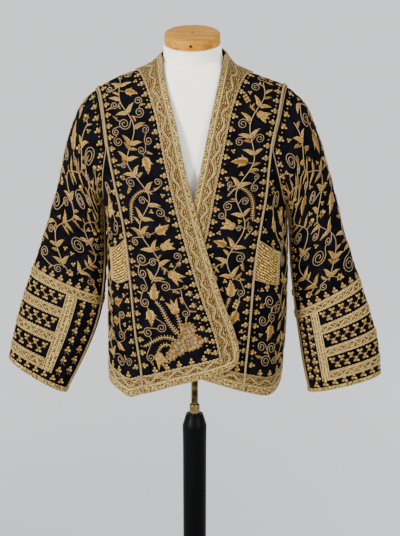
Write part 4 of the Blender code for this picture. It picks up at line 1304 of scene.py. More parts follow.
# %% Rows of blossoms beside a band or seam
def blossom_row(drawing, field, path, aside, pitch=12.5, size=1.12):
    """Trefoils along a flat path, with a seed on the cloth halfway between; aside is where they point."""
    whole = lengths(path)[-1]
    count = max(1, int(whole // pitch))
    for k in range(count):
        at = (k + 0.5) * whole / count
        point, ahead = walk(path, [at, at + 2])
        heading = heading_of(ahead - point) + aside * math.pi / 2
        big = k % 2 == 0
        spot = point + direction(heading) * (6.8 if big else 3.4) * size
        if not field.fits(spot, 4 if big else 2):
            continue
        if big:
            drawing.blossom("trefoil", *spot, heading, size)
            for way in (-1, 1):
                foot = point + direction(heading - aside * math.pi / 2) * way * 3.2
                drawing.line([foot, spot - direction(heading) * 3], 0.55, 0.7)
        else:
            drawing.blossom("seed", *spot, heading, 0.65)
        field.take([spot], 7 * size if big else 3)

# %% [markdown]
# ## Sewing a drawing onto the cloth
#
# Couched cords could be modelled one by one, but there are hundreds on each panel. So each drawn line
# becomes a chain of edges on the worn cloth, with a radius and a tone at every point, and the cord tree
# rounds all of them at once. Satin leaves are small domed meshes, because each has its own length and bend.

# %% Turn drawn lines into cords
sewn_on = {name: [] for name in patterns}


def sew_on(piece, panel, node=None):
    """Books a piece with the panel that it is sewn to, and hides the node whose place it takes."""
    sewn_on[panel].append(piece)
    if node:
        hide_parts(node)
    return piece


def cords_piece(name, panel, lines, node=None):
    """One object with the cords of many lines, each given as points, radius, tone and lift."""
    counts = [len(line[0]) for line in lines]
    flat = np.concatenate([line[0] for line in lines])
    radius, tone, lift = (
        np.concatenate([np.broadcast_to(line[part], len(line[0])) for line in lines]) for part in (1, 2, 3)
    )
    points = patterns[panel].place(flat[:, 0], flat[:, 1], lift)[0]
    ends = np.cumsum(counts)
    edges = [(k, k + 1) for first, last in zip(ends - counts, ends) for k in range(first, last - 1)]
    mesh = bpy.data.meshes.new(name)
    mesh.from_pydata((points * MM).tolist(), edges, [])
    write(mesh, "thickness", radius * MM)
    write(mesh, "tone", clamp(tone))
    piece = grow(into_scene(name, mesh), cords_from_lines, {"Sides": 5, "Finish": gilt})
    return sew_on(piece, panel, node)


# %% Turn drawn leaves into domes of satin stitch
# A leaf wider than this is a bud, and has a fuller base
BUD_WIDTH = 8.6


def leaf_grid(leaf, along, across):
    """Flat places, heights, threads and tones of one leaf: a pointed oval that bends to one side."""
    start, heading, length, width, bend, tone = leaf
    a, b = np.meshgrid(np.linspace(0, 1, along), np.linspace(-1, 1, across), indexing="ij")
    belly, taper = (0.58, 1.1) if width > BUD_WIDTH else (0.8, 0.75)
    half = width / 2 * np.sin(np.pi * a**belly) ** taper + 0.12
    turn = heading + bend * (a - 0.2)
    run = direction_of(turn[:, 0]) * length / (along - 1)
    steps = np.cumsum((run[:-1] + run[1:]) / 2, axis=0)
    spine = np.asarray(start, float) + np.concatenate([np.zeros((1, 2)), steps])
    aside = pairs(-np.sin(turn), np.cos(turn))
    flat = spine[:, None, :] + aside * (half * b)[..., None]
    rise = np.minimum(1.7, 0.5 + width * 0.16)
    height = rise * np.sqrt(clamp(1 - b**2)) * clamp(np.sin(np.pi * a)) ** 0.4
    height = height - 0.4 * rise * np.exp(-((b / 0.3) ** 2)) * (width > 5)
    height = np.where((np.abs(b) > 0.99) | (a < 0.01) | (a > 0.99), -0.2, height)
    return flat, height, pairs(a * length, half * b), tone - 0.15 + 0.75 * (np.abs(b) > 0.6)


def leaves_piece(name, panel, leaves):
    """One object with all the satin leaves of a drawing."""
    flats, heights, threads, tones, faces = [], [], [], [], []
    start = 0
    for leaf in leaves:
        along, across = (8, 7) if leaf[3] > 7 else (7, 5) if leaf[3] > 3.5 else (5, 3)
        for store, values in zip((flats, heights, threads, tones), leaf_grid(leaf, along, across)):
            store.append(values.reshape(along * across, -1))
        for i in range(along - 1):
            for j in range(across - 1):
                a = start + i * across + j
                faces.append((a, a + across, a + across + 1, a + 1))
        rim = [start + j for j in range(across)]
        rim += [start + i * across + across - 1 for i in range(1, along)]
        rim += [start + (along - 1) * across + j for j in range(across - 2, -1, -1)]
        rim += [start + i * across for i in range(along - 2, 0, -1)]
        faces.append(tuple(rim))
        start += along * across
    flat = np.concatenate(flats)
    points = patterns[panel].place(flat[:, 0], flat[:, 1], np.concatenate(heights)[:, 0])[0]
    tone = clamp(np.concatenate(tones))
    return sew_on(face_out(new_piece(name, points, faces, np.concatenate(threads), [satin], tone)), panel)


# %% Stitch the small motifs that repeat
def stitched_motif(name, petals, sides=6):
    """A small flower of raised satin petals, about 12 mm across with three of them."""
    vertices, faces, tones = [], [], []
    for petal in range(petals):
        angle = math.pi / 2 + petal * math.tau / petals
        middle = direction(angle) * 3.1
        first = len(vertices)
        for reach, height, tone in ((2.5, -0.2, 0.25), (1.6, 1.1, 0.95)):
            for side in range(sides):
                turn = side * math.tau / sides
                ahead = direction(angle) * math.cos(turn) * 1.25
                aside = direction(angle + math.pi / 2) * math.sin(turn)
                vertices.append((*(middle + (ahead + aside) * reach), height))
                tones.append(tone)
        vertices.append((*middle, 0.7))
        tones.append(0.5)
        for j in range(sides):
            after = (j + 1) % sides
            faces.append((first + j, first + after, first + sides + after, first + sides + j))
            faces.append((first + sides + j, first + sides + after, first + 2 * sides))
        faces.append(tuple(first + j for j in range(sides))[::-1])
    piece = new_piece(name, vertices, faces, [vertex[:2] for vertex in vertices], [], tones)
    bpy.context.scene.collection.objects.unlink(piece)
    return piece


def blossoms_piece(name, panel, spots, motif):
    """One object with a copy of a motif on each spot, given as s, t, heading and size."""
    s, t, heading, size = np.array(spots, float).T
    points, normals = patterns[panel].place(s, t)
    ahead = patterns[panel].place(s + np.cos(heading) * 2, t + np.sin(heading) * 2)[0] - points
    mesh = bpy.data.meshes.new(name)
    mesh.from_pydata((points * MM).tolist(), [], [])
    write(mesh, "up", normals, "FLOAT_VECTOR")
    write(mesh, "heading", ahead, "FLOAT_VECTOR")
    write(mesh, "size", size)
    piece = grow(into_scene(name, mesh), motifs_on_points, {"Motif": motif, "Finish": satin})
    return sew_on(piece, panel)


motifs = {"trefoil": stitched_motif("trefoil", 3), "seed": stitched_motif("seed", 1)}
print("motifs:", {name: len(motif.data.polygons) for name, motif in motifs.items()})

# %% [markdown]
# ## The gold bands
#
# A band is made on the jacket: a braid runs along the cloth's edge, then a bright cord, then rows of
# parallel gold thread under a wavy double cord, and small loops finish the outer side. The relief of a
# band is a fine strip of mesh over the cloth, and its cords are laid on top with the same tree as the rest.

# %% Lay a strip of couched thread, and lines beside a path
BAND_TOP = 1.5
HEM_BRAID = 15.0
USUAL_WIDTH = 36.0
band_lines = {name: [] for name in patterns}


def band_height(v, width, edge):
    """Height in millimetres of a band above the cloth: a round braid, then a low swell."""
    ridge = 0.8 + np.sqrt(clamp(1 - ((v - edge / 2) / max(edge / 2, 0.1)) ** 2))
    swell = 1.15 + 0.35 * np.sin(np.pi * clamp((v - edge) / np.maximum(width - edge, 1e-6)))
    return np.where(v < edge, ridge, swell)


def lay_strip(node, panel, s, t, u, v, height, threads, edge=0, foot=-1e6, lift=0):
    """A strip of couching; u runs along it and v across it, and it is braided up to its edge and its foot."""
    pattern = patterns[panel]
    s, t, u, v, height = np.broadcast_arrays(s, t, u, v, height)
    outer, inner = pattern.place(s, t, height + lift)[0], pattern.place(s, t, TRIM_GAP + lift)[0]
    plain = lambda u, v: (v > edge) & (u > foot)
    return sew_on(walled(node, outer, inner, pairs(u, v), [braid, threads], second=plain), panel, node)


def steps_across(width, edge):
    """Distances across a band: close together over the round braid, then even."""
    round_part = edge * (1 - np.cos(np.linspace(0, np.pi, 9))) / 2 if edge else np.array([0])
    return np.concatenate([round_part, even(edge, width, 2.6)[1:]])


def across_changing(width):
    """Distances across a band whose width changes along it: its braid keeps its own."""
    share = steps_across(USUAL_WIDTH, BRAID_WIDTH)
    beyond = clamp((share - BRAID_WIDTH) / (USUAL_WIDTH - BRAID_WIDTH))
    return np.minimum(share, BRAID_WIDTH) + beyond * (width[:, None] - BRAID_WIDTH)


def beside(path, across, reach, step=2.6, first=0):
    """A flat line beside a path: across is the direction, and reach the distance at each length."""
    u = even(first, lengths(path)[-1], step)
    distance = reach(u) if callable(reach) else np.full(len(u), reach)
    return walk(path, u) + np.asarray(across) * distance[:, None]


def wave_of(middle, reach, period=WAVE_PERIOD):
    """A wave about a middle distance that may itself change along the path."""
    return lambda u: (middle(u) if callable(middle) else middle) + reach * np.sin(u / period * math.tau)


def edge_and_waves(path, across, edge, width, foot=0):
    """The cords of a band: along its edge, past its braid, the double wave, and its outer side's loops."""

    def at(share, shift):
        wide = width if callable(width) else lambda u: np.full(len(u), width)
        return lambda u: (edge + 2) * (1 - share) + wide(u) * share + shift

    return [
        (beside(path, across, 0.9, 4), 0.95, 0.35, 0.95),
        (beside(path, across, edge + 0.6, 4, foot), 1, 0.85, BAND_TOP + 0.3),
        (beside(path, across, edge + 3.2, 4, foot), 0.7, 0.5, BAND_TOP + 0.1),
        (beside(path, across, wave_of(at(0.5, -1.2), WAVE_REACH), 2.6, foot), 0.75, 0.9, BAND_TOP + 0.35),
        (beside(path, across, wave_of(at(0.5, 1.3), WAVE_REACH), 2.6, foot), 0.7, 0.6, BAND_TOP + 0.3),
        (beside(path, across, at(1, -2.4), 4, foot), 0.7, 0.6, BAND_TOP),
        (beside(path, across, wave_of(at(1, -0.3), 1, 7.5), 1.9, foot), 0.85, 0.75, 0.8),
    ]


# %% The bands of the two fronts, mitred at the corner with the braid of the hem
for side in ("right", "left"):
    panel = f"front_{side}"
    pattern = patterns[panel]
    t = even(0.2, pattern.t[-1] - 0.2, 3)
    start = pattern.across(0, t)
    wide = pattern.across(2, t) - start
    v = across_changing(wide)
    s, up = start[:, None] + v, t[:, None]
    height = band_height(v, wide[:, None], BRAID_WIDTH)
    lay_strip(f"front_band_{side}", panel, s, up, up, v, height, waves, BRAID_WIDTH, HEM_BRAID)
    path = pairs(start, t)
    run = lengths(path)
    width_along = lambda u, run=run, wide=wide: np.interp(u, run, wide)
    band_lines[panel] += edge_and_waves(path, (1, 0), BRAID_WIDTH, width_along, HEM_BRAID)
    foot = np.array([[start[0] + BRAID_WIDTH, 0], [start[0] + wide[0], 0]])
    for reach, radius, tone in ((0.9, 0.95, 0.35), (HEM_BRAID + 0.6, 1, 0.85)):
        band_lines[panel].append((beside(foot, (0, 1), reach, 4), radius, tone, BAND_TOP + 0.2))

# %% The bands along the hem
for panel in ("front_right", "front_left", "back", "side_right", "side_left"):
    pattern = patterns[panel]
    high = pattern.height(HEM_BAND_LEVEL)
    first, last = (2, 3) if panel.startswith("front") else (0, 1)
    columns = even(first, last, 3 / (pattern.across(last, 0) - pattern.across(first, 0)))
    v = steps_across(high, HEM_BRAID)
    s = np.array([pattern.across(column, v) for column in columns])
    height = band_height(v, high, HEM_BRAID)
    lay_strip(f"hem_band_{panel}", panel, s, v, s[:, :1], v, height, waves, HEM_BRAID)
    band_lines[panel] += edge_and_waves(pairs(s[:, 0], 0), (0, 1), HEM_BRAID, high)

# %% The band behind the neck
pattern = patterns["back"]
seams = [curve(BACK_SEAMS, column, 2) for column in (1, 2)]
edges = [
    front_x(edge, seam, way, 2, 2)
    for edge, seam, way in ((RIGHT_EDGE, RIGHT_SEAM, -1), (LEFT_EDGE, LEFT_SEAM, 1))
]
first, last = ((x - seams[0]) / (seams[1] - seams[0]) for x in edges)
columns = even(first, last, 0.0085)
top = pattern.t[-1] - 0.2
full = top - pattern.height(NECK_BAND_LEVEL)
short = top - pattern.height(NECK_BAND_ENDS)
deep = short + (full - short) * clamp(np.minimum(columns - first, last - columns) / 0.1)
v = across_changing(deep)
s = np.array([pattern.across(column, line) for column, line in zip(columns, top - v)])
u = np.array([pattern.across(column, top) for column in columns])
height = band_height(v, deep[:, None], BRAID_WIDTH)
up = u[:, None]
lay_strip("neck_band_back", "back", s, top - v, up, v, height, waves, BRAID_WIDTH, lift=NECK_BAND_LIFT)
lines = edge_and_waves(pairs(u, top), (0, -1), BRAID_WIDTH, lambda x: np.interp(x, u - u[0], deep))
band_lines["back"] += [(line, radius, tone, lift + NECK_BAND_LIFT) for line, radius, tone, lift in lines]

# %% The combs and edgings of the cuffs
INNER_TURN = 12.0
SLEEVE_SEAM = 10.6
OUTER_END = -11.0
for side, strip in (("right", RIGHT_STRIP), ("left", LEFT_STRIP)):
    panel = f"sleeve_{side}"
    pattern = patterns[panel]
    for number, (low, high) in enumerate([(0, CUFF_EDGING), *CUFF_BANDS]):
        edge = high if number == 0 else 0
        turns = even(OUTER_END, INNER_TURN if number in (0, len(CUFF_BANDS)) else strip, 0.18)
        v = steps_across(high - low, edge)
        s = np.array([pattern.across(turn, low + v) for turn in turns])
        node = f"cuff_band_{side}_{number}" if number else f"cuff_edging_{side}"
        lay_strip(node, panel, s, low + v, s[:, :1], v, band_height(v, high - low, edge), slants, edge)
        path = pairs(s[:, 0], low)
        for reach, radius, tone, lift, step in (
            (wave_of(0.3, 0.9, 6.5), 0.8, 0.75, 0.8, 1.8),
            (wave_of(19.7, 0.9, 6.5), 0.8, 0.75, 0.8, 1.8),
            (3, 0.75, 0.9, BAND_TOP, 4),
            (17, 0.75, 0.9, BAND_TOP, 4),
            (wave_of(10, 3.6, 17), 0.8, 0.85, BAND_TOP + 0.35, 1.8),
        ) if number else ():  # fmt: skip
            band_lines[panel].append((beside(path, (0, 1), reach, step), radius, tone, lift))
    low, high = CUFF_BANDS[0][0], CUFF_BANDS[-1][0]
    t = even(low, high, 2.6)
    left = pattern.across(strip, t)
    wide = pattern.across(strip + 1, t) - left
    v = wide[:, None] * np.linspace(0, 1, 10)
    s, up = left[:, None] + v, t[:, None]
    lay_strip(f"cuff_strip_{side}", panel, s, up, up, v, band_height(v, wide[:, None], 0), braid)
    for share, tone in ((0.02, 0.8), (0.3, 0.95), (0.66, 0.9), (0.98, 0.7)):
        band_lines[panel].append((pairs(left + wide * share, t), 0.9, tone, BAND_TOP + 0.2))

# %% The patches at the pockets: thick rows of cord, side by side
for side in ("right", "left"):
    panel = f"side_{side}"
    pattern = patterns[panel]
    low, high = (pattern.height(level) for level in (POCKET_LOW_LEVEL, POCKET_HIGH_LEVEL))
    t = even(low, high, 1.3)
    s = np.array([pattern.across(column, t) for column in even(0, POCKET_ACROSS, 0.008)])
    v, u = t - low, s - s[0]
    row = (v + 0.2 * u + 1.1 * np.sin(u / 6)) / POCKET_ROW
    height = 0.7 + 0.9 * np.abs(np.sin(row * math.pi))
    lay_strip(f"pocket_{side}", panel, s, t, u, row * POCKET_ROW, height, rows, -1e6)
    edge = pairs(s[-1], t)
    for reach, radius in ((wave_of(-0.8, 0.9, 6), 0.9), (wave_of(-4, 0.9, 6), 0.85), (-7, 1)):
        band_lines[panel].append((beside(edge, (1, 0), reach, 1.9), radius, 0.7, BAND_TOP + 0.4))
    for level in (t[0] + 0.5, t[-1] - 0.5):
        path = pairs(np.linspace(s[0, 0], s[-1, 0], 20), level)
        band_lines[panel].append((path, 1, 0.6, BAND_TOP))


# %% Twisted cords along the seams
def twisted(path, radius=1.35, pitch=9, lift=1.9, tone=0.57):
    """Two strands that wind about a flat path."""
    u = even(0, lengths(path)[-1], pitch / 7)
    lift = lift(u) if callable(lift) else lift
    spot = walk(path, u)
    run = np.gradient(spot, axis=0)
    aside = unit(pairs(-run[:, 1], run[:, 0]))
    reach = radius * 0.85
    strands = []
    for phase in (u / pitch * math.tau, u / pitch * math.tau + math.pi):
        strand = spot + aside * (reach * np.cos(phase))[:, None]
        strands.append((strand, radius, tone, lift + reach * np.sin(phase)))
    return strands


def over_the_hem(u):
    """A cord crosses the hem's band on top of it, and then lies down on the cloth."""
    return np.interp(u, (0, 38, 48), (3.3, 3.3, 2))


for side, column, way in (("right", 0, 1), ("left", 1, -1)):
    both = (("front", f"front_{side}", 3, -2.4), ("back", "back", column, 2.4 * way))
    for part, panel, seam, shift in both:
        pattern, node = patterns[panel], f"seam_cord_{part}_{side}"
        t = even(1, pattern.t[-1] - 1, 6)
        path = pairs(pattern.across(seam, t) + shift, t)
        cords_piece(node, panel, twisted(path, lift=over_the_hem), node)
    panel = f"sleeve_{side}"
    pattern = patterns[panel]
    t = even(CUFF_EDGING, pattern.t[-1] - 4, 6)
    band_lines[panel] += twisted(pairs(pattern.across(SLEEVE_SEAM, t), t), 1.25, 8, 1.7, 0.3)
    top = pattern.t[-1] - 2.4
    path = np.array([(pattern.across(turn, top), top) for turn in np.linspace(-12, 12, 190)])
    band_lines[panel] += twisted(path, 0.9, 7, 1.2)

# %% Sew the cords of all bands
for panel, lines in band_lines.items():
    cords_piece(f"cords_{panel}", panel, lines)
print("pieces of the bands:", {panel: len(pieces) for panel, pieces in sewn_on.items()})

# %% [markdown]
# ## Embroidering the panels
#
# Small trefoils on forked stems stand in rows along every band and seam, as if they grew out of it. Each
# front has a gilded corner with toothed branches that rise from it. Everything else is scrolls: first on
# large stems, then in whatever room is left.


# %% A field between the borders of a panel
def panel_field(pattern, left, right, low, high, margins=(5, 5)):
    """The free cloth between two columns and two heights of a panel."""

    def is_free(s, t):
        first, last = pattern.across(left, t[0]), pattern.across(right, t[0])
        return (s > first + margins[0]) & (s < last - margins[1]) & (t > low) & (t < high)

    t = np.linspace(low, high, 40)
    low_s, high_s = pattern.across(left, t).min(), pattern.across(right, t).max()
    return Field(low_s, high_s, low, high, is_free)


def share_line(pattern, left, right, points, margin=14):
    """A smooth stem through places given as a share of the way across the field and a height."""
    flat = []
    for share, t in points:
        first, last = pattern.across(left, t) + margin, pattern.across(right, t) - margin
        flat.append((first + (last - first) * share, t))
    return smooth_line(flat)


def column_row(drawing, field, pattern, column, shift, low, high, aside, **looks):
    """A row of blossoms beside a column of a pattern."""
    t = np.linspace(low, high, 60)
    blossom_row(drawing, field, pairs(pattern.across(column, t) + shift, t), aside, **looks)


def level_row(drawing, field, pattern, left, right, t, aside, **looks):
    """A row of blossoms along a height of a pattern."""
    s = np.linspace(pattern.across(left, t), pattern.across(right, t), 60)
    blossom_row(drawing, field, pairs(s, t), aside, **looks)


drawings = {name: Drawing() for name in patterns}

# %% The fronts: a gilded corner, toothed branches and tall stems
# middle and size of the round parts of the gilded corner
CORNER = ((0, 0, 19), (22, -10, 14), (38, -22, 9), (-6, 24, 13), (-14, -4, 13))
CORNER_RINGS = 2.7
KNOT_GAP = 7.4


def draw_corner(drawing, field, centre):
    """A cloud of gold: round parts of dull cord laid in rings, bright knots over them, and a lobed rim."""
    knots = []
    parts = [(centre + (x, y), size) for x, y, size in CORNER]
    for middle, size in parts:
        field.take([middle], size + 2)
        turns = np.linspace(0, size / CORNER_RINGS, round(size * 6))
        rings = middle + direction_of(turns * math.tau) * (CORNER_RINGS * turns)[:, None]
        drawing.line(rings, 1.1, 0.1, 0.1)
        for x, y in itertools.product(np.arange(-size, size, 2), repeat=2):
            knot = middle + (x, y)
            if math.hypot(x, y) < size - 3 and all(math.dist(knot, other) > KNOT_GAP for other in knots):
                knots.append(knot)
                drawing.line(curl(knot, 3.5, x + y, 1, 1.3), 0.9, 0.56 + 0.035 * (x % 7), 1.6)
        for lobe in np.arange(0, math.tau, 6.5 / size):
            foot = middle + direction(lobe) * (size - 2.5)
            if all(np.linalg.norm(foot - other) > reach - 3.5 for other, reach in parts):
                drawing.leaf(foot, lobe, 6.5, 5.5, 0, 0.35)


def draw_front(name):
    pattern, drawing = patterns[name], drawings[name]
    hem_top = pattern.height(HEM_BAND_LEVEL)
    top = pattern.t[-1] - 4
    field = panel_field(pattern, 2, 3, hem_top + 2, top, (2, 6.5))
    work = drawing, field, pattern
    column_row(*work, 2, 1, hem_top + 8, top - 4, -1)
    if name.endswith("right"):
        column_row(*work, 2, 14, hem_top + 14, 190, -1)
    column_row(*work, 3, -5, hem_top + 14, top - 4, 1)
    level_row(*work, 2, 3, hem_top + 0.5, 1)
    at = lambda share, t: share_line(pattern, 2, 3, [(share, t), (share, t + 1)])[0]
    heart = at(0.30, 86)
    draw_corner(drawing, field, heart)
    stems = []
    for points, reach in (
        ([heart + (14, 16), heart + (28, 44), heart + (36, 74), at(0.66, 178)], 7),
        ([heart + (8, 24), heart + (7, 42), heart + (9, 60)], 7),
        ([heart + (22, 8), heart + (48, 18), at(0.98, 92)], 6.5),
        ([heart + (36, 0), heart + (52, 2), heart + (66, -12)], 6),
    ):
        branch = smooth_line(points, 5.2)
        draw_frond(drawing, branch, reach, 0.45)
        field.take(branch, 6)
        stems.append(branch)
    dice = random.Random(name)
    for base, heading, length, kind in (
        (stems[0][-1], math.pi / 2, 38, "bud"),
        (stems[1][-1], math.pi / 2 - 0.2, 34, "tulip"),
        (stems[3][-1], -1.9, 36, "tulip"),
    ):
        middle = [base + direction(heading) * length * share for share in (0.3, 0.6, 0.9)]
        field.take(middle, 10)
        if kind == "bud":
            draw_bud(drawing, base, heading, length, 1, dice)
        else:
            draw_tulip(drawing, base, heading, length, dice)
    bud_tip = stems[0][-1] + (0, 36)
    sway = [(0.66, 215), (0.45, 255), (0.72, 320), (0.35, 385), (0.7, 450), (0.4, 520), (0.62, 580)]
    tall = np.concatenate([[bud_tip], share_line(pattern, 2, 3, [*sway, (0.45, top - 24)])])
    loop = share_line(pattern, 2, 3, [(0.9, 330), (0.78, 375), (0.4, 398), (0.12, 378)])
    draw_frond(drawing, smooth_line(loop[:: max(1, len(loop) // 6)], 5), 6, 0.4)
    field.take(loop, 5)
    return fill_with_scrolls(drawing, field, [tall], name, gap=0.7)


print("front motifs:", [draw_front(name) for name in ("front_right", "front_left")])

# %% The sides and the back
def draw_side(name):
    pattern, drawing = patterns[name], drawings[name]
    hem_top = pattern.height(HEM_BAND_LEVEL)
    top = pattern.t[-1] - 4
    field = panel_field(pattern, 0, 1, hem_top + 2, top, (5, 5))
    low, high = (pattern.height(level) for level in (POCKET_LOW_LEVEL, POCKET_HIGH_LEVEL))
    edge = pattern.across(POCKET_ACROSS, (low + high) / 2)
    start = round(edge + 4 - field.low[0])
    field.free[: start, round(low - 3 - field.low[1]) : round(high + 3 - field.low[1])] = False
    work = drawing, field, pattern
    column_row(*work, 0, 4, hem_top + 14, top - 4, -1)
    column_row(*work, 1, -4, hem_top + 14, top - 4, 1)
    level_row(*work, 0, 1, hem_top + 0.5, 1)
    level_row(*work, 0, POCKET_ACROSS, high + 1, 1)
    level_row(*work, 0, POCKET_ACROSS, low - 1, -1)
    stems = []
    for foot, sway in (
        (0.25, ((0.42, 120), (0.3, 180), (0.44, 250), (0.3, 310))),
        (0.72, ((0.6, 130), (0.8, 200), (0.62, 270), (0.75, 330))),
    ):
        stems.append(share_line(pattern, 0, 1, [(foot, hem_top + 22), *sway]))
    return fill_with_scrolls(drawing, field, stems, name, gap=0.7)


def draw_back():
    pattern, drawing = patterns["back"], drawings["back"]
    hem_top = pattern.height(HEM_BAND_LEVEL)
    top = pattern.t[-1] - 4
    field = panel_field(pattern, 0, 1, hem_top + 2, top, (6.5, 6.5))
    neck_low = pattern.height(NECK_BAND_LEVEL) - 2
    first, last = (pattern.across(column, top) for column in (0.205, 0.82))
    cut = [round(value - field.low[0]) for value in (first, last)]
    field.free[cut[0] : cut[1], round(neck_low - field.low[1]) :] = False
    work = drawing, field, pattern
    column_row(*work, 0, 5, hem_top + 14, top - 4, -1)
    column_row(*work, 1, -5, hem_top + 14, top - 4, 1)
    level_row(*work, 0, 1, hem_top + 0.5, 1)
    level_row(*work, 0.22, 0.80, neck_low, -1)
    inner = ((0.36, 130), (0.44, 220), (0.28, 310), (0.42, 400), (0.30, 480), (0.38, 560))
    outer = ((0.22, 120), (0.08, 210), (0.2, 300), (0.07, 400), (0.2, 500), (0.1, 600))
    stems = []
    for mirror in (False, True):
        for line in (((0.47, hem_top + 20), *inner), ((0.10, hem_top + 24), *outer)):
            stems.append(share_line(pattern, 0, 1, [(1 - a if mirror else a, t) for a, t in line]))
    return fill_with_scrolls(drawing, field, stems, 11)


print("side motifs:", [draw_side(name) for name in ("side_right", "side_left")], "back:", draw_back())

# %% The sleeves and the fields between the bands of the cuffs
def draw_cuff(drawing, pattern, strip):
    """Staggered pairs of trefoils between the bands, and two columns of them beyond the strip."""
    dice = random.Random(7)
    for low, high in zip((CUFF_EDGING, *(band[1] for band in CUFF_BANDS)), (band[0] for band in CUFF_BANDS)):
        rows = (0.5,) if high - low < 20 else (0.29, 0.71)
        first = pattern.across(OUTER_END, (low + high) / 2) + 5
        last = pattern.across(strip, (low + high) / 2) - 5
        if high - low < 20:
            last = pattern.across(SLEEVE_SEAM, low) - 4
        count = round((last - first) / 20)
        pitch = (last - first) / count
        for row, share in enumerate(rows):
            for k in range(count):
                spot = np.array([first + (k + 0.25 + 0.5 * row) * pitch, low + (high - low) * share])
                drawing.blossom("trefoil", *spot, math.pi / 2 * (1 if row == 0 else -1), 1.2)
                if len(rows) > 1 and row == 0:
                    for way in (-0.5, 0.5):
                        end = np.array([spot[0] + way * pitch, low + (high - low) * rows[1]])
                        drawing.line([spot + (end - spot) * 0.3, end - (end - spot) * 0.3], 0.6, 0.5)
    low, high = CUFF_BANDS[0][0], CUFF_BANDS[-1][0]
    count = 8
    for k in range(count):
        t = low + (k + 0.5) * (high - low) / count
        first, last = pattern.across(strip + 1, t), pattern.across(SLEEVE_SEAM, t)
        for share, rise in ((0.27, 0), (0.73, 7)):
            spot = np.array([first + (last - first) * share, t + rise])
            drawing.blossom("trefoil", *spot, dice.uniform(1.2, 1.9), 1.25)
            drawing.line(spot + [(-4, -9), (0, -4), (4, -9)], 0.6, 0.5)


def draw_sleeve(name, strip):
    pattern, drawing = patterns[name], drawings[name]
    draw_cuff(drawing, pattern, strip)
    low, top = CUFF_BANDS[-1][1], pattern.t[-1] - 8
    field = panel_field(pattern, -12, 12, low + 2, top, (1.5, 1.5))
    t = np.arange(low, top)
    for turn in np.arange(SLEEVE_SEAM, 12, 0.3):
        field.take(pairs(pattern.across(turn, t), t), 4)
    work = drawing, field, pattern
    level_row(*work, -11.5, SLEEVE_SEAM - 0.3, low + 0.5, 1, pitch=9.5)
    level_row(*work, -11.5, SLEEVE_SEAM - 0.3, top - 1, -1)
    column_row(*work, SLEEVE_SEAM, -3.5, low + 8, top - 8, 1, size=1)
    stems = []
    for share, sway in ((0.14, 0.05), (0.32, -0.05), (0.5, 0.05), (0.68, -0.05), (0.86, 0.05)):
        rise = (top - low - 60) / 5
        points = [(share + sway * (1 if k % 2 else -1), low + 34 + k * rise) for k in range(6)]
        stems.append(share_line(pattern, -12, 12, points))
    return fill_with_scrolls(drawing, field, stems, name, 1.45, 2.2, 8)


print("sleeve motifs:", draw_sleeve("sleeve_right", RIGHT_STRIP), draw_sleeve("sleeve_left", LEFT_STRIP))

# %% Sew the drawings onto the cloth
for panel, drawing in drawings.items():
    cords_piece(f"vines_{panel}", panel, drawing.lines)
    leaves_piece(f"leaves_{panel}", panel, drawing.leaves)
    for kind, motif in motifs.items():
        spots = [spot[1:] for spot in drawing.blossoms if spot[0] == kind]
        if spots:
            blossoms_piece(f"{kind}s_{panel}", panel, spots, motif)
for motif in motifs.values():
    bpy.data.objects.remove(motif)
trimmings = [piece for pieces in sewn_on.values() for piece in pieces]
sizes = [sum(len(polygon.vertices) - 2 for polygon in piece.data.polygons) for piece in trimmings]
print("triangles of the embroidery:", sum(sizes), "of which the largest piece has", max(sizes))

# %% [markdown]
# ## The dress form and its stand
#
# The form is papier mache covered with pale cotton, and the jacket rests on its shoulders. Its skin follows
# the inside of the jacket, a little way in. The cap is a turned disc of timber, and the stand is lacquered
# black with a brass rod; all of them are round, so each is a ring of points turned about its axis.

# %% Sizes of the form and the stand, in millimetres
FORM_BOTTOM = 906.0
FORM_TOP = 1474.5
NECK_EDGE = 1460.0
FORM_INSET = (
    (900, 26), (950, 24), (1050, 30), (1150, 17), (1230, 12), (1300, 8), (1350, 4.4), (1385, 3.3),
    (1437, 3.3), (1446, 5), (1470, 5),
)
FORM_SHOULDER = 171.0
FORM_ROUNDING = 12.0
NECK_SECTIONS = (
    (1400, -2, 6, 65), (1430, -2.5, 3, 58.5), (1455, -3, -3, 56.8), (FORM_TOP, -3.5, -8, 56.5),
)
CAP_HEIGHT = 20.0
CAP_RADIUS = 54.5
CAP_TILT = 9.0
KNOT = (-0.0035, -0.0632, 1.4765)
BORE = 7.35


# %% Finishes of the form and the stand
def linen_finish():
    """Tight off-white cotton over the form: a plain weave that shows only close up."""
    finish = Finish("form_linen", 0.86)
    place = finish.here()
    x, y, z = finish.split(place)
    threads = finish.times(finish.wave(finish.times(x, 1 / (1.1 * MM))), 0.5)
    weave = finish.math("MULTIPLY_ADD", finish.wave(finish.times(z, 1 / (1.1 * MM))), 0.5, threads)
    stain = finish.spread(finish.noise(place, 9, 3), 0.3, 0.75)
    finish.color(finish.mix(stain, (0.97, 0.94, 0.83), (0.90, 0.86, 0.73)))
    finish.bump(weave, 0.08)
    return finish.material


def oak_finish():
    """Turned timber with a satin varnish: long fibres across the top and down the rim, and a knot."""
    finish = Finish("turned_oak", 0.55, specular=0.12)
    place = finish.here()
    squeeze = finish.add("Mapping")
    finish.set(squeeze.inputs, Vector=place, Scale=(14, 160, 160))
    grain = finish.noise(squeeze.outputs[0], 1, 5, 0.6)
    timber = finish.mix(finish.spread(grain, 0.32, 0.68), (0.27, 0.105, 0.009), (0.47, 0.215, 0.018))
    away = finish.add("VectorMath", operation="DISTANCE")
    finish.feed(away.inputs[0], place)
    finish.feed(away.inputs[1], KNOT)
    edge = finish.spread(away.outputs["Value"], 0.0022, 0.0042)
    finish.color(finish.mix(edge, (0.03, 0.012, 0.004), timber))
    finish.bump(grain, 0.12)
    return finish.material


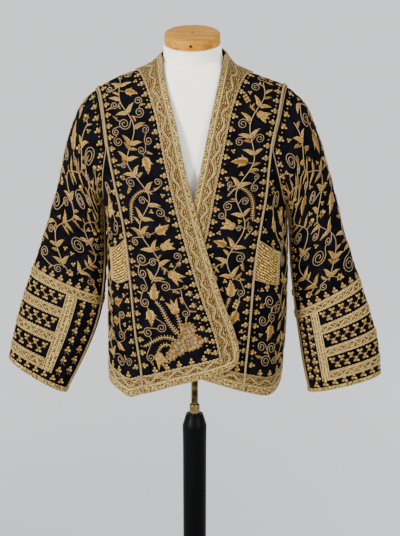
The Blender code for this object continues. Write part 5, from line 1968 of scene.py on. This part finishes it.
def lacquer_finish():
    """Black lacquer on wood, with a slight unevenness from the brush."""
    finish = Finish("black_lacquer", 0.42, specular=0.05)
    brush = finish.noise(finish.here(), 60, 3)
    finish.color(finish.mix(brush, (0.0010, 0.0010, 0.0011), (0.0018, 0.0018, 0.0020)))
    finish.bump(brush, 0.04)
    return finish.material


def brass_finish():
    """Brass gone brown, brighter where hands have rubbed it."""
    finish = Finish("aged_brass", 0.22, 1)
    spots = finish.spread(finish.noise(finish.here(), 55, 4), 0.35, 0.7)
    finish.color(finish.mix(spots, (0.030, 0.020, 0.008), (0.26, 0.18, 0.065)))
    return finish.material


linen, oak, lacquer, brass = linen_finish(), oak_finish(), lacquer_finish(), brass_finish()


# %% The skin of the torso, inside the jacket
def inside_jacket(x, y, z):
    """True where a point is inside the jacket's outer face, with its neck opening closed over."""
    ridge = curve(SHOULDER_LINE, 1, x)
    rise = clamp((z - CHEST_LINE) / (ridge - CHEST_LINE))
    limit = section_depth(np.where(y < 0, -1, 1), x, z) * np.sqrt(1 - rise**2)
    return (np.abs(y) < limit) & (z < ridge)


def form_radius(angles, height):
    """Distance of the form's skin from its middle line at one height, in each direction."""
    ahead, aside = np.sin(angles), np.cos(angles)
    inset = curve(FORM_INSET, 1, height)
    near, far = np.zeros(len(angles)), np.full(len(angles), 230)
    for _ in range(20):
        middle = (near + far) / 2
        x, y = aside * middle, ahead * middle
        inside = inside_jacket(x + np.sign(x) * inset, y + np.sign(y) * inset, height + inset)
        near, far = np.where(inside, middle, near), np.where(inside, far, middle)
    limit = FORM_SHOULDER / np.maximum(np.abs(aside), 1e-6)
    body = (np.maximum(near, 1) ** -FORM_ROUNDING + limit**-FORM_ROUNDING) ** (-1 / FORM_ROUNDING)
    if height < NECK_SECTIONS[0][0]:
        return body
    middle_x, middle_y, radius = (curve(NECK_SECTIONS, column, height) for column in (1, 2, 3))
    across = aside * middle_x + ahead * middle_y
    neck = across + np.sqrt(across**2 - middle_x**2 - middle_y**2 + radius**2)
    return np.maximum(body, neck)


# %% Solids through rings of points
def rings_piece(name, rings, material, replaces=True, loop=False):
    """A closed solid through rings of points in millimetres; in a loop the last ring meets the first."""
    grid = np.asarray(rings, float)
    count, around = grid.shape[:2]
    faces = []
    for r in range(count if loop else count - 1):
        here, after = r * around, (r + 1) % count * around
        for i in range(around):
            j = (i + 1) % around
            faces.append((here + i, here + j, after + j, after + i))
    if not loop:
        faces.append(tuple(range(around))[::-1])
        faces.append(tuple((count - 1) * around + i for i in range(around)))
    uv = pairs(np.arange(around) / around * 100, grid[..., 2]).reshape(-1, 2)
    piece = face_out(new_piece(name, grid.reshape(-1, 3), faces, uv, [material]))
    piece.data.set_sharp_from_angle(angle=math.radians(38))
    if replaces:
        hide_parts(name)
    return piece


def around(count):
    return np.arange(count) * math.tau / count


def ring(radius, height, count=96):
    angles = around(count)
    return np.stack([radius * np.cos(angles), radius * np.sin(angles), np.full(count, float(height))], -1)


def tilted_ring(radius, rise, count=96):
    """A ring about the neck's tilted axis, a rise above the neck's top."""
    tilt, angles = math.radians(CAP_TILT), around(count)
    middle_x, middle_y = NECK_SECTIONS[-1][1:3]
    forward = radius * np.sin(angles)
    y = middle_y + forward * math.cos(tilt) - rise * math.sin(tilt)
    z = FORM_TOP + forward * math.sin(tilt) + rise * math.cos(tilt)
    return np.stack([middle_x + radius * np.cos(angles), y, z], -1)


# %% The torso
skin = [ring(BORE, 960), ring(BORE, FORM_BOTTOM)]
for height, less in ((FORM_BOTTOM, 2), (FORM_BOTTOM + 0.6, 0.6)):
    skin.append(ring(form_radius(around(96), height) - less, height))
for height in (*even(FORM_BOTTOM + 2, 1340, 12), *even(1350, NECK_EDGE, 6)):
    skin.append(ring(form_radius(around(96), height), height))
skin.append(tilted_ring(NECK_SECTIONS[-1][3], 0))
torso = rings_piece("torso", skin, linen)

# %% The turned cap on the neck
top = CAP_HEIGHT + SEAM_GAP
profile = [
    (CAP_RADIUS - 1, SEAM_GAP), (CAP_RADIUS - 0.3, SEAM_GAP + 0.3), (CAP_RADIUS, SEAM_GAP + 1),
    (CAP_RADIUS, top - 3), (CAP_RADIUS - 0.4, top - 1.4), (CAP_RADIUS - 1.4, top - 0.4),
    (CAP_RADIUS - 3, top), (CAP_RADIUS - 22, top + 0.4), (4, top + 0.8), (1, top + 0.8),
]  # fmt: skip
cap = rings_piece("neck_cap", [tilted_ring(radius, rise) for radius, rise in profile], oak)
head = [(2.6, top + 0.5), (2.6, top + 1.2), (1.8, top + 1.8), (0.4, top + 2)]
cap_screw = rings_piece("cap_screw", [tilted_ring(radius, rise, 24) for radius, rise in head], brass, False)
print("form:", len(torso.data.polygons), "faces; cap:", len(cap.data.polygons))


# %% The stand
def lathe(name, profile, material, count=64, loop=False):
    rings = [ring(radius, height, count) for radius, height in profile]
    return rings_piece(name, rings, material, loop=loop)


base = lathe(
    "base",
    [
        (162.5, 0), (164.4, 0.6), (165, 2), (165, 7.6), (164.5, 8.6), (163.4, 9.4), (159, 13),
        (110, 16.4), (60, 19.2), (37.5, 20.4), (34.5, 21.2), (31.5, 22), (13.8, 22), (13.8, 15.7),
    ],
    lacquer, 96,
)  # fmt: skip
pole = lathe(
    "pole",
    [
        (BORE, 370), (BORE, 713.4), (BORE + 0.6, 714), (16.4, 714), (17.3, 713), (23.9, 691),
        (24.5, 688), (24.5, 682), (23.9, 640), (22.8, 24), (22.4, 22.3), (13.5, 22.3), (13.5, 16),
    ],
    lacquer,
)  # fmt: skip
# A brass clamp collar: a short tube with rounded edges
collar = lathe(
    "collar",
    [
        (BORE, 714.3), (10, 714.3), (10.5, 714.8), (10.5, 731.8), (10.2, 733), (8.6, 734.3), (BORE, 734.3),
    ],
    brass, 48, loop=True,
)  # fmt: skip
rod = lathe("rod", [(6, 430), (7, 431), (7, 949), (6, 950)], brass, 48)
print("stand:", len(base.data.polygons) + len(pole.data.polygons) + len(collar.data.polygons), "faces")

# %% [markdown]
# ## The bodies, the floor, the light and the camera
#
# The stand stays on the floor, the rod slides up and down in it, and the form turns on the rod with the
# jacket. The light is that of a museum's catalogue: large soft boxes on both sides, and a pale floor.

# %% Say what moves with what
on_figure = [*cloth.values(), torso, cap, cap_screw, *trimmings]
for piece in on_figure:
    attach(piece, "figure")
for piece in (base, pole, collar):
    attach(piece, "stand")
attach(rod, "rod")
for name, pattern in patterns.items():
    width, height = float(np.max(pattern.s[-1] - pattern.s[0])), float(pattern.t[-1])
    flat = (round(width * MM, 4), round(max(height, pattern.area() / width) * MM, 4))
    area = pattern.area() * MM**2

# %% The floor, the light and the camera
# The paper on the floor is painted a little darker near the stand, as painted shade for where less of the
# room's light reaches it.
paper = Finish("studio_grey", 0.9)
away = paper.add("VectorMath", operation="LENGTH")
paper.feed(away.inputs[0], paper.here())
# Painted shade: the paper's colour darkens towards the stand and pales away from it.
painted_light_falloff = paper.spread(away.outputs["Value"], 0.5, 2.8)
paper.color(paper.mix(painted_light_falloff, (0.68, 0.685, 0.71), (0.93, 0.935, 0.955)))
bpy.ops.mesh.primitive_plane_add(size=60, location=(0, 0, 0))
floor = bpy.context.object
floor.name = "studio_floor"
floor.data.materials.append(paper.material)
floor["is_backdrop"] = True

world = bpy.context.scene.world or bpy.data.worlds.new("studio")
bpy.context.scene.world = world
world.use_nodes = True
sky = world.node_tree.nodes["Background"].inputs
sky["Color"].default_value = (0.985, 0.99, 1, 1)
sky["Strength"].default_value = 1.15


def soft_box(name, place, goal, size, power):
    lamp = bpy.data.lights.new(name, "AREA")
    lamp.shape, lamp.size, lamp.size_y = "RECTANGLE", *size
    lamp.energy, lamp.spread = power, math.radians(40)
    box = bpy.data.objects.new(name, lamp)
    box.location = place
    aim = Vector(goal) - Vector(place)
    box.rotation_euler = aim.to_track_quat("-Z", "Y").to_euler()
    bpy.context.scene.collection.objects.link(box)
    return box


soft_box("soft_left", (-2.1, -2, 2), (0, 0, 1.1), (0.8, 1.4), 13)
soft_box("soft_right", (2.2, -2.2, 2), (0, 0, 1.1), (0.8, 1.4), 5)

lens = bpy.data.cameras.new("catalogue")
lens.sensor_fit, lens.sensor_height, lens.lens = "VERTICAL", 36, 151.12
lens.clip_end = 200
camera = bpy.data.objects.new("catalogue", lens)
camera.location = (0.2385, -4.3407, 2.1842)
aim = Vector((0.011, 0, 1.0195)) - camera.location
camera.rotation_euler = aim.to_track_quat("-Z", "Y").to_euler()
bpy.context.scene.collection.objects.link(camera)
bpy.context.scene.camera = camera

# %% Print the visual box and finish
low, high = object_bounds()
print("visual box:", [round(value, 4) for value in (*low, *high)])
